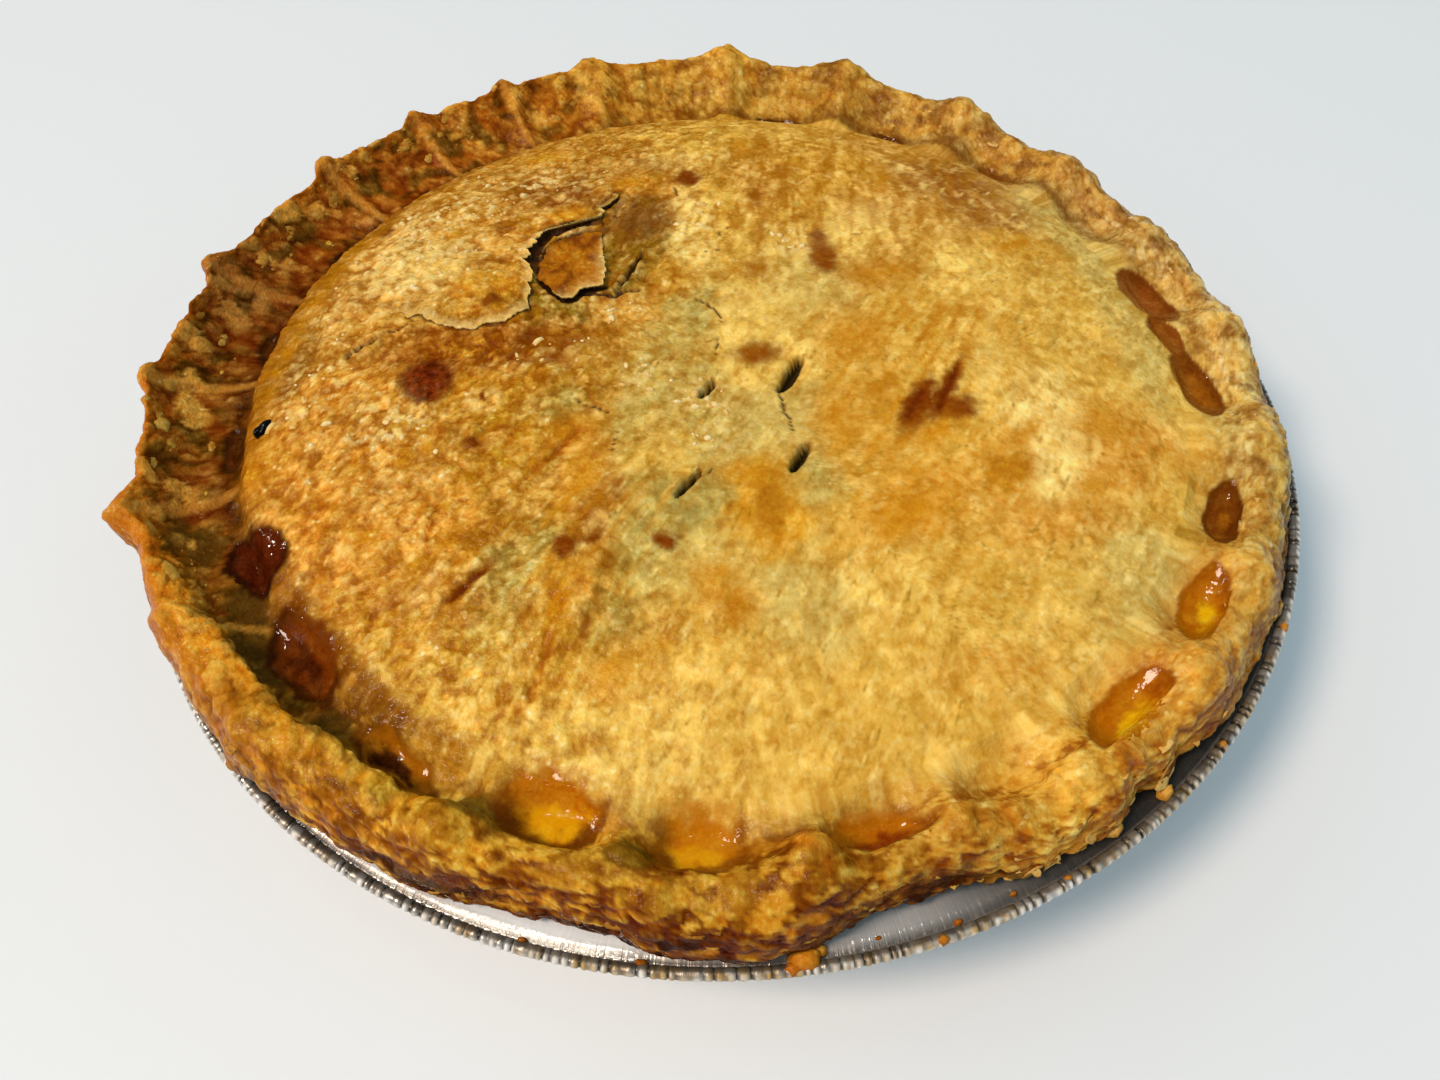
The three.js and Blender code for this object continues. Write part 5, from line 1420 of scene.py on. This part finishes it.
# ------------------------------------------------------------------ build: loose layers and flakes
class Loose:
    """Closed pieces of crust gathered into one mesh."""

    def __init__(self):
        self.v, self.f, self.c, self.m, self.n = [], [], [], [], 0

    def add(self, v, f, c, m):
        self.v.append(v)
        self.f.append(np.asarray(f) + self.n)
        self.c.append(np.clip(c, 0, 1))
        self.m.append(m)
        self.n += len(v)

    def chip(self, rng, at, normal, along_, ru, rv, high, sink, lift, mid, edge, gloss_):
        """A crumb (lift 0) or a thin flake with one side raised by lift, on a surface."""
        normal = np.asarray(normal, float)
        u = np.asarray(along_, float) - normal * float(np.dot(along_, normal))
        u /= np.linalg.norm(u) + 1e-9
        w = np.cross(normal, u)
        k = 11
        a = (np.arange(k) + 0.32 * rng.uniform(-1, 1, k)) * 2 * math.pi / k
        rad = 1 + (0.26 if lift else 0.17) * rng.uniform(-1, 1, k)
        pts, shade = [], []
        for f in (0.0, 0.42, 0.78, 1.0):
            m = 1 if f == 0 else k
            aa, bb = f * rad[:m] * np.cos(a[:m]) * ru, f * rad[:m] * np.sin(a[:m]) * rv
            if lift:
                h = high + lift * (0.5 + 0.5 * bb / rv) - sink * (0.5 - 0.5 * bb / rv) + 0.10 * rng.uniform(-1, 1, m)
            else:
                h = high * (1 - f * f) ** 0.6 - sink * f**3 + 0.10 * high * rng.uniform(-1, 1, m)
            pts.append(np.asarray(at) + aa[:, None] * u + bb[:, None] * w + h[:, None] * normal)
            shade.append(np.full(m, f))
        thick = 0.32 if lift else 0.5
        pts.append(pts[3] * 0.94 + pts[0] * 0.06 - thick * normal)
        pts.append(pts[0] - (thick + (high if not lift else 0.0)) * normal)
        shade += [np.full(k, 1.0), np.full(1, 1.0)]
        v = np.concatenate(pts)
        s = np.arange(k)
        s1 = (s + 1) % k
        rows = [1 + s, 1 + k + s, 1 + 2 * k + s, 1 + 3 * k + s]
        faces = [np.stack([np.zeros(k, int), rows[0][s], rows[0][s1]], 1)]
        for A, B in zip(rows[:-1], rows[1:]):
            faces += [np.stack([A[s], B[s], B[s1]], 1), np.stack([A[s], B[s1], A[s1]], 1)]
        faces.append(np.stack([rows[3][s], np.full(k, 1 + 4 * k), rows[3][s1]], 1))
        sh = np.concatenate(shade)
        c = mix(np.asarray(mid)[None], np.asarray(edge)[None], smooth(0.35, 1.0, sh)[:, None])
        m = np.stack([np.full(len(v), 0.7), np.full(len(v), gloss_), np.full(len(v), 0.7)], 1)
        self.add(v, np.concatenate(faces), c, m)

    def make(self, name):
        ob = make_mesh(name, np.concatenate(self.v), np.concatenate(self.f))
        paint(ob, "tone", np.concatenate(self.c))
        paint(ob, "marks", np.concatenate(self.m))
        ob.data.materials.append(CRUST)
        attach(ob, "root")
        return ob


def loose_layer(store, cx, cy, outline, lift_of, thick, spokes=260, rings=18, jag=0.75):
    """A thin layer lying on the lid. outline is (x, y, torn): torn edges are ragged and stand up."""
    pts = np.array([(a, b) for a, b, _ in outline])
    flag = np.array([t for _, _, t in outline], float)
    th = 2 * math.pi * np.arange(spokes) / spokes
    dx, dy = np.cos(th), np.sin(th)
    R, T = np.zeros(spokes), np.zeros(spokes)
    for k in range(len(pts)):
        a, e = pts[k] - (cx, cy), pts[(k + 1) % len(pts)] - pts[k]
        det = -dx * e[1] + e[0] * dy
        det = np.where(np.abs(det) < 1e-9, 1e-9, det)
        rr = (-a[0] * e[1] + e[0] * a[1]) / det
        t = (dx * a[1] - dy * a[0]) / det
        ok = (t >= 0) & (t <= 1) & (rr > R)
        R = np.where(ok, rr, R)
        T = np.where(ok, mix(flag[k], flag[(k + 1) % len(pts)], t), T)
    q = np.stack([cx + R * dx, cy + R * dy, np.full(spokes, 3.3)], 1)
    R = R + np.sqrt(T) * (jag * FIELDS[2](q / 2.4) + 0.6 * jag * FIELDS[7](q / 0.9))
    f = 1 - (1 - np.arange(1, rings + 1) / rings) ** 1.5
    x = np.concatenate([[cx], (cx + f[:, None] * R * dx).ravel()])
    y = np.concatenate([[cy], (cy + f[:, None] * R * dy).ravel()])
    d = np.concatenate([[R.min()], ((1 - f)[:, None] * R).ravel()])
    TT = np.concatenate([[0.0], np.tile(T, rings)])
    z, mk = lid_relief(x, y, bare=False)
    mk["torn"] = TT * np.exp(-((d / 0.75) ** 2))
    col, gl, gr, re_ = lid_colour(x, y, mk)
    lift, col = lift_of(x, y, d, TT, col)
    z = z + lift
    n = len(x)
    top = np.stack([x, y, z], 1)
    under = np.stack([x, y, z - thick], 1)
    s = np.arange(spokes)
    s1 = (s + 1) % spokes
    rows = [1 + i * spokes + s for i in range(rings)]
    faces = [np.stack([np.zeros(spokes, int), rows[0][s], rows[0][s1]], 1), np.stack([np.full(spokes, n), n + rows[0][s1], n + rows[0][s]], 1)]
    for A, B in zip(rows[:-1], rows[1:]):
        faces += [np.stack([A[s], B[s], B[s1]], 1), np.stack([A[s], B[s1], A[s1]], 1)]
        faces += [np.stack([n + A[s], n + B[s1], n + B[s]], 1), np.stack([n + A[s], n + A[s1], n + B[s1]], 1)]
    e = rows[-1]
    faces += [np.stack([e[s], n + e[s], n + e[s1]], 1), np.stack([e[s], n + e[s1], e[s1]], 1)]
    m = np.stack([gr, gl, re_], 1)
    # the underside copy is darkened to 0.6 as painted shade under the layer
    store.add(np.concatenate([top, under]), np.concatenate(faces), np.concatenate([col, col * 0.6]), np.concatenate([m, m]))


def flake_lift(x, y, d, torn, col):
    p = np.stack([x, y, np.full_like(x, 5.0)], 1)
    pale = smooth(0.1, 0.5, torn) * smooth(3.4, 1.0, d + 1.3 * fbm(p / 2.6, 3, 2))
    col = over(col, srgb(226, 180, 98) * (1 + 0.3 * fbm(p / 1.6, 7, 2))[:, None], 0.8 * pale * smooth(-34, -44, x))
    return torn * 0.95 * np.exp(-d / 3.6) - 0.35 * (1 - torn * np.exp(-d / 6)), col


def plate_lift(x, y, d, torn, col):
    slope = (x + 32) * 0.77 - (y - 29) * 0.64
    p = np.stack([x, y, np.full_like(x, 2.0)], 1)
    n = fbm(warp(p, 4, 2, 3) / 4, 6, 3)
    hue = mix(srgb(176, 102, 8)[None], srgb(124, 58, 4)[None], smooth(-0.1, 0.40, n)[:, None])
    hue = over(hue, srgb(206, 146, 40), 0.6 * smooth(0.14, 0.5, -n))
    pale = np.exp(-d / 1.3) * smooth(0, 7, (x + 32) * 0.9 - (y - 29) * 0.45)
    hue = over(hue, srgb(240, 196, 108), 0.95 * pale)
    # painted shadow along the plate's low, sunk edge
    dark = smooth(3.0, 0.0, d) * smooth(-2, -9, slope)
    return 0.30 + 0.065 * slope + 0.25 * n, over(hue, srgb(96, 48, 8), 0.7 * dark)


layers = Loose()
loose_layer(layers, -52.0, 36.0,
            [(a, b, 0.5 if i < 13 else 0.95) for i, (a, b) in enumerate(TORN[1:-1])] + [(-22.4, 53.2, 0.6), (-28, 60, 0), (-40, 64, 0), (-55, 64, 0), (-68, 58, 0), (-75, 45, 0),
                                                    (-76, 30, 0), (-72, 20, 0)], flake_lift, 0.45, 420, 18, 1.5)
loose_layer(layers, -32.0, 29.0, [(a, b, 1.0) for a, b in PLATE], plate_lift, 0.5, 160, 14)

rng = np.random.default_rng(4242)
rows_at = info["row"][::COLS]
rim_grid = rim_v[rim_part].reshape(n_rows, COLS, 3)
rim_norm = grid_normals(rim_grid)


def on_rim(deg, row):
    i, j = int(np.argmin(np.abs(rows_at - row))), int(round((deg % 360) / 360 * COLS)) % COLS
    return rim_grid[i, j], rim_norm[i, j]


def tangent(deg, turn=0.0):
    a = math.radians(deg)
    return np.array([-math.sin(a), math.cos(a), turn])


flakes = Loose()
# pale pebbly crumbs on the dark side of the rim
for _ in range(210):
    deg, row = rng.uniform(100, 238), rng.choice([rng.uniform(2.6, 4.4), rng.uniform(2.6, 4.4), rng.uniform(4.4, 7.0)])
    keep = float(around(np.array([deg]), FAR_LEFT)[0])
    at, nn = on_rim(deg, row)
    reach, _, _ = pool_stain(at[None, 0], at[None, 1])
    size = 0.6 + (1.8 if row < 4.4 else 0.5) * rng.random() ** 1.8
    tint = mix(srgb(164, 106, 32), srgb(206, 156, 62), rng.random() ** 0.9)
    if rng.random() > 0.25 + 0.75 * keep or (reach[0] < 1.2 and row < 4.2):
        continue
    wall = both[0][COLS + int(np.argmin(np.abs(rows_at - row))) * COLS + int(round(deg / 360 * COLS)) % COLS]
    flakes.chip(rng, at - 0.12 * size * nn, nn, tangent(deg, rng.uniform(-0.6, 0.6)), size * rng.uniform(1.0, 1.6), size * rng.uniform(0.7, 1.0),
                size * rng.uniform(0.10, 0.18), 0.35, 0.0, tint, mix(tint, wall, 0.70), rng.uniform(0.5, 0.8))
# layered flakes on the near face
for _ in range(44):
    deg, row = rng.uniform(222, 300), rng.uniform(6.4, 9.3)
    at, nn = on_rim(deg, row)
    long_ = 0.8 + 2.2 * rng.random() ** 2
    tint = mix(srgb(140, 80, 14), srgb(204, 148, 56), rng.random())
    flakes.chip(rng, at, nn, -tangent(deg, rng.uniform(-0.25, 0.25)), long_, rng.uniform(0.4, 0.9), -0.05, 0.35, rng.uniform(0.1, 0.35),
                tint, mix(tint, srgb(120, 66, 10), 0.35), 0.4)
# the broken, pale stretch at the front right
for _ in range(22):
    deg, row = rng.uniform(286, 314), rng.uniform(5.4, 9.4)
    at, nn = on_rim(deg, row)
    tint = mix(srgb(196, 138, 52), srgb(230, 186, 102), rng.random())
    flakes.chip(rng, at, nn, rng.choice([-1, 1]) * tangent(deg, rng.uniform(-0.8, 0.8)), rng.uniform(0.7, 2.4), rng.uniform(0.5, 1.3), -0.05, 0.4,
                rng.uniform(0.2, 0.6), tint, mix(tint, srgb(176, 112, 34), 0.3), 0.3)
# small flakes on the low right side
for _ in range(36):
    deg, row = rng.uniform(314, 425), rng.uniform(3.4, 8.5)
    at, nn = on_rim(deg, row)
    tint = mix(srgb(200, 142, 56), srgb(238, 198, 118), rng.random())
    flakes.chip(rng, at, nn, rng.choice([-1, 1]) * tangent(deg, rng.uniform(-0.8, 0.8)), rng.uniform(0.6, 1.6), rng.uniform(0.4, 0.9), 0.02, 0.3,
                rng.uniform(0.15, 0.4), tint, mix(tint, srgb(180, 116, 40), 0.3), 0.3)
# crisp flakes and grains on the lid
for cx, cy, rx, ry in GRAINS:
    for _ in range(int(6 + rx * ry * 0.16)):
        x_, y_ = rng.normal(cx, rx * 0.6), rng.normal(cy, ry * 0.6)
        if math.hypot(x_, y_) > 93 or bool(inside(np.array([x_]), np.array([y_]), PLATE)[0]):
            continue
        hit, nn = drop(x_, y_)
        size = 0.35 + 0.75 * rng.random() ** 2
        tint = mix(srgb(226, 176, 92), srgb(246, 218, 156), rng.random())
        flakes.chip(rng, np.array(hit), np.array(nn), np.array([math.cos(_), math.sin(_), 0]), size * rng.uniform(1.0, 1.6), size * rng.uniform(0.7, 1.0),
                    size * rng.uniform(0.25, 0.45), 0.25, 0.0, tint, tint * np.array([0.82, 0.72, 0.5]), rng.uniform(0.4, 0.7))
# crumbs that fell or baked on over the tin's edge: angle, radius, height, size
for deg, r_, z_, size, tint in (
        (275.0, 119.7, 30.5, 2.3, srgb(206, 128, 26)), (274.0, 120.9, 30.2, 1.3, srgb(190, 110, 20)), (276.2, 118.6, 30.2, 1.2, srgb(214, 142, 40)),
        (285.7, 121.4, 30.3, 1.0, srgb(186, 116, 30)), (287.4, 119.3, 29.5, 0.7, srgb(176, 104, 24)), (308.7, 118.9, 30.6, 1.5, srgb(226, 166, 70)),
        (302.6, 118.3, 31.4, 1.6, srgb(224, 170, 80)), (330.5, 121.4, 30.2, 1.1, srgb(198, 132, 44)), (292.5, 118.6, 29.8, 0.6, srgb(168, 98, 22)),
        (281.0, 118.2, 29.5, 0.6, srgb(150, 84, 18)), (297.0, 120.6, 30.3, 0.8, srgb(182, 112, 28)), (316.0, 120.9, 30.4, 0.8, srgb(190, 124, 40)),
        (253.0, 119.8, 30.0, 0.7, srgb(160, 92, 20)), (262.5, 119.9, 30.1, 0.9, srgb(150, 80, 14))):
    a = math.radians(deg)
    flakes.chip(rng, np.array([r_ * math.cos(a), r_ * math.sin(a), z_ - 0.15]), np.array([0, 0, 1.0]), tangent(deg), size * 1.25, size * 0.85,
                size * 0.75, 0.35, 0.0, tint, tint * np.array([0.7, 0.6, 0.45]), 0.45)
# a scorched black bead on the lid's left edge
hit, nn = drop(-94.0, -12.6)
flakes.chip(rng, np.array(hit), np.array(nn), np.array([0.3, 1.0, 0]), 2.5, 3.1, 0.05, 0.5, 0.0, srgb(236, 200, 128), srgb(214, 160, 72), 0.4)
for dx_, dy_, size in ((0, 0.2, 1.7), (0.9, 1.1, 1.0), (-0.9, -1.0, 1.2)):
    flakes.chip(rng, np.array(hit) + np.array([dx_, dy_, 0.1]), np.array(nn), np.array([0.4, 1.0, 0]), size * 1.25, size * 0.85, 0.9, 0.3, 0.0,
                srgb(16, 17, 20), srgb(10, 9, 9), 0.95)
layers.make("crust_layers")
flakes.make("crust_flakes")


# ------------------------------------------------------------------ build: foil tin
def revolve(profile, cols, deg0=0.0):
    """A closed section swept right round; profile is (r, z) and starts and ends on the axis."""
    a = np.radians(deg0 + np.arange(cols) * 360.0 / cols)
    rows, verts_, base = [], [], 0
    for r, z in profile:
        if r == 0:
            verts_.append(np.array([[0, 0, z]]))
            rows.append(np.full(cols, base))
            base += 1
        else:
            verts_.append(np.stack([r * np.cos(a), r * np.sin(a), np.full(cols, z)], 1))
            rows.append(base + np.arange(cols))
            base += cols
    j, j1 = np.arange(cols), (np.arange(cols) + 1) % cols
    faces = []
    for A, B in zip(rows[:-1], rows[1:]):
        if A[0] != A[1]:
            faces.append(np.stack([A[j], A[j1], B[j1]], 1))
        if B[0] != B[1]:
            faces.append(np.stack([A[j], B[j1], B[j]], 1))
    return np.concatenate(verts_), np.concatenate(faces)


def build_tin():
    # the sheet: floor, wall, flange and the small groove before the rolled edge
    out = [(0, 0.0), (45, 0.0), (88.6, 0.0), (90.4, 0.12), (91.6, 0.55), (92.5, 1.5), (98.8, 10.3), (105.1, 19.4),
           (111.2, 28.1), (111.7, 28.55), (112.6, 28.78), (116.8, 28.86), (117.3, 29.0), (118.6, 29.0), (119.3, 28.72),
           (120.3, 28.86)]
    top = [(120.5, 29.3), (119.4, 29.02), (118.7, 29.42), (117.2, 29.44), (116.6, 29.26), (112.4, 29.2), (111.1, 28.9),
           (110.5, 28.35), (104.7, 19.6), (98.4, 10.5), (92.1, 1.75), (91.2, 0.85), (90.1, 0.5), (45, 0.42), (0, 0.42)]
    v, f = revolve(out + top, 480)
    # pressed flange: faint waves where the sheet was drawn in
    r = np.hypot(v[:, 0], v[:, 1])
    deg = np.degrees(np.arctan2(v[:, 1], v[:, 0]))
    p = np.stack([np.cos(np.radians(deg)) * 16, np.sin(np.radians(deg)) * 16, np.zeros(len(v))], 1)
    wave = 0.16 * fbm(p, 3, 2) + 0.10 * FIELDS[4](p * 2.6)
    v[:, 2] += wave * smooth(112, 114, r) * smooth(119.4, 118.4, r)
    # the rolled edge, pinched into fine uneven ribs
    ribs, per, sides = 470, 5, 12
    cols = ribs * per
    k = np.arange(cols)
    rng = np.random.default_rng(77)
    width = 1 + 0.28 * rng.standard_normal(ribs).clip(-1.6, 1.6)
    edges = np.concatenate([[0], np.cumsum(width)]) / width.sum() * 360
    deep = np.clip(0.75 + 0.45 * rng.standard_normal(ribs), 0.15, 1.5)
    lean = 0.25 * rng.standard_normal(ribs)
    which, phase = k // per, (k % per) / per
    ang = np.radians(edges[which] + (edges[which + 1] - edges[which]) * phase)
    groove = np.array([1.0, 0.45, -0.10, -0.10, 0.35])[k % per] * deep[which]
    verts_, rows = [], []
    slow = np.stack([np.cos(ang) * 3, np.sin(ang) * 3, np.zeros(cols)], 1)
    sag = 0.18 * fbm(slow, 6, 2)
    for s in range(sides):
        t = 2 * math.pi * s / sides
        rad = 1.12 - 0.36 * groove * (0.6 + 0.4 * math.sin(t + 0.6))
        rr = 121.02 + rad * math.cos(t) * 1.02
        zz = 29.42 + rad * math.sin(t) * 0.98 + sag
        a2 = ang + np.radians(0.10) * lean[which] * math.sin(t)
        verts_.append(np.stack([rr * np.cos(a2), rr * np.sin(a2), zz], 1))
        rows.append(len(v) + s * cols + k)
    faces = []
    k1 = (k + 1) % cols
    for s in range(sides):
        A, B = rows[s], rows[(s + 1) % sides]
        faces.append(np.stack([A[k], A[k1], B[k1]], 1))
        faces.append(np.stack([A[k], B[k1], B[k]], 1))
    bead = np.concatenate(verts_)
    stain = around(np.degrees(ang), {0: 0.35, 40: 0.2, 180: 0.25, 235: 0.5, 256: 0.65, 264: 1.0, 275: 1.0, 290: 0.85, 305: 0.8,
                                     318: 0.75, 335: 0.55})
    patch = smooth(-0.15, 0.45, fbm(np.stack([np.cos(ang) * 26, np.sin(ang) * 26, np.zeros(cols)], 1), 8, 2))
    stain = np.clip(stain * (0.75 + 0.8 * patch), 0, 1)
    tone_ = np.concatenate([np.where(r > 117.6, 0.25, 0.06), np.tile(stain, sides)])
    # painted reflection: the near flange is made white and less metallic where the foil mirrors the light
    painted_flange_reflection = around(deg, {0: 0.1, 60: 0.3, 180: 0.3, 225: 0.5, 240: 0.9, 250: 1.0, 262: 1.0, 268: 0.6, 276: 0.35, 284: 0.5, 292: 0.35, 302: 0.0, 318: 0.0})
    painted_flange_reflection = np.clip(painted_flange_reflection, 0, 1) * smooth(111, 112.5, r) * smooth(118.9, 118.3, r)
    # painted highlight: single ribs of the bead made white at random, as glints
    rib_painted_highlight = np.clip(0.44 + 0.55 * rng.standard_normal(ribs), 0, 1)[which]
    # painted shade in the grooves between the ribs
    dark = np.clip(np.array([1.0, 0.75, 0.0, 0.0, 0.35])[k % per] * (0.35 + 0.75 * deep[which]), 0, 1)
    # painted shade: a dark line along the small groove, and the flange darkened where the rim overhangs it
    line = np.where((r > 119.0) & (r < 119.6), 0.6, 0.0)
    shade = around(deg, {0: 0.8, 60: 0.6, 120: 0.4, 200: 0.2, 225: 0.0, 262: 0.0, 276: 0.12, 284: 0.35, 291: 0.70, 302: 0.88, 330: 0.88})
    line = np.maximum(line, np.clip(shade, 0, 1) * smooth(110, 111, r) * smooth(120.4, 119.8, r))
    # the bead's top and inner side are painted near black as a dark reflection
    return (np.concatenate([v, bead]), np.concatenate([f] + faces),
            np.stack([tone_, np.concatenate([painted_flange_reflection, np.tile(rib_painted_highlight, sides)]), np.concatenate([line] + [np.maximum(dark, 0.82 if 75 < 360 * q_ / sides < 215 else 0.0) for q_ in range(sides)])], 1), len(v))


tv, tf, tt, n_sheet = build_tin()
tin = make_mesh("tin_foil", tv, tf)
paint(tin, "tone", tt)
tin.data.materials.append(foil_material())
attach(tin, "root")
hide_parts("foil_tin")

# ------------------------------------------------------------------ stage
bpy.ops.mesh.primitive_plane_add(size=6.0, location=(0, 0, -0.0002))
floor = bpy.context.object
floor.name = "floor"
floor.data.materials.append(plain("pale_floor", (0.80, 0.80, 0.80), 0.55))

world = bpy.data.worlds.new("soft_room")
scene.world = world
world.use_nodes = True
wt = world.node_tree
bg = wt.nodes["Background"]
bg.inputs["Color"].default_value = (0.73, 0.95, 1.07, 1)
# brighter on the left, darker on the right, as in a room with one large window
way = wt.nodes.new("ShaderNodeTexCoord")
axes = wt.nodes.new("ShaderNodeSeparateXYZ")
side = wt.nodes.new("ShaderNodeMapRange")
side.inputs["From Min"].default_value = -1.0
side.inputs["From Max"].default_value = 1.0
side.inputs["To Min"].default_value = 0.67
side.inputs["To Max"].default_value = 0.63
wt.links.new(way.outputs["Generated"], axes.inputs[0])
wt.links.new(axes.outputs["X"], side.inputs["Value"])
wt.links.new(side.outputs["Result"], bg.inputs["Strength"])


def area(name, at, look, size, power, colour=(1, 1, 1)):
    d = bpy.data.lights.new(name, "AREA")
    d.shape = "DISK"
    d.size = size
    d.energy = power
    d.color = colour
    o = bpy.data.objects.new(name, d)
    o.location = at
    o.rotation_euler = (Vector(look) - Vector(at)).to_track_quat("-Z", "Y").to_euler()
    scene.collection.objects.link(o)
    return o


# the room itself gives soft fill, and only the lamps show as reflections
world.cycles_visibility.glossy = False
area("key", (-1.72, -0.92, 2.70), (0, 0, 0.03), 0.95, 76.0, (1.0, 0.80, 0.65))
for glint in (area("window", (-0.28, 0.02, 1.50), (0, 0, 0.04), 0.10, 3.2, (1.0, 0.94, 0.82)),
              area("window_2", (-1.50, 0.26, 0.64), (0, 0, 0.04), 0.12, 2.2, (1.0, 0.92, 0.78))):
    glint.visible_diffuse = False

cam = bpy.data.cameras.new("camera")
cam.sensor_fit = "HORIZONTAL"
cam.sensor_width = 36.0
cam.lens = 1165.0 / 1440.0 * 36.0
cam.clip_start = 0.01
camera = bpy.data.objects.new("camera", cam)
scene.collection.objects.link(camera)
YAW, PITCH, ROLL = -0.00676265, 0.909309218, -0.0397065158
fwd = Vector((math.sin(YAW) * math.cos(PITCH), math.cos(YAW) * math.cos(PITCH), -math.sin(PITCH)))
right = Vector((math.cos(YAW), -math.sin(YAW), 0.0))
upv = right.cross(fwd)
rt = math.cos(ROLL) * right + math.sin(ROLL) * upv
up = -math.sin(ROLL) * right + math.cos(ROLL) * upv
pose = Matrix((rt, up, -fwd)).transposed().to_4x4()
pose.translation = Vector((0.0, -0.180138122, 0.2175184))
camera.matrix_world = pose
scene.camera = camera
scene.view_settings.view_transform = "Standard"
scene.view_settings.look = "None"
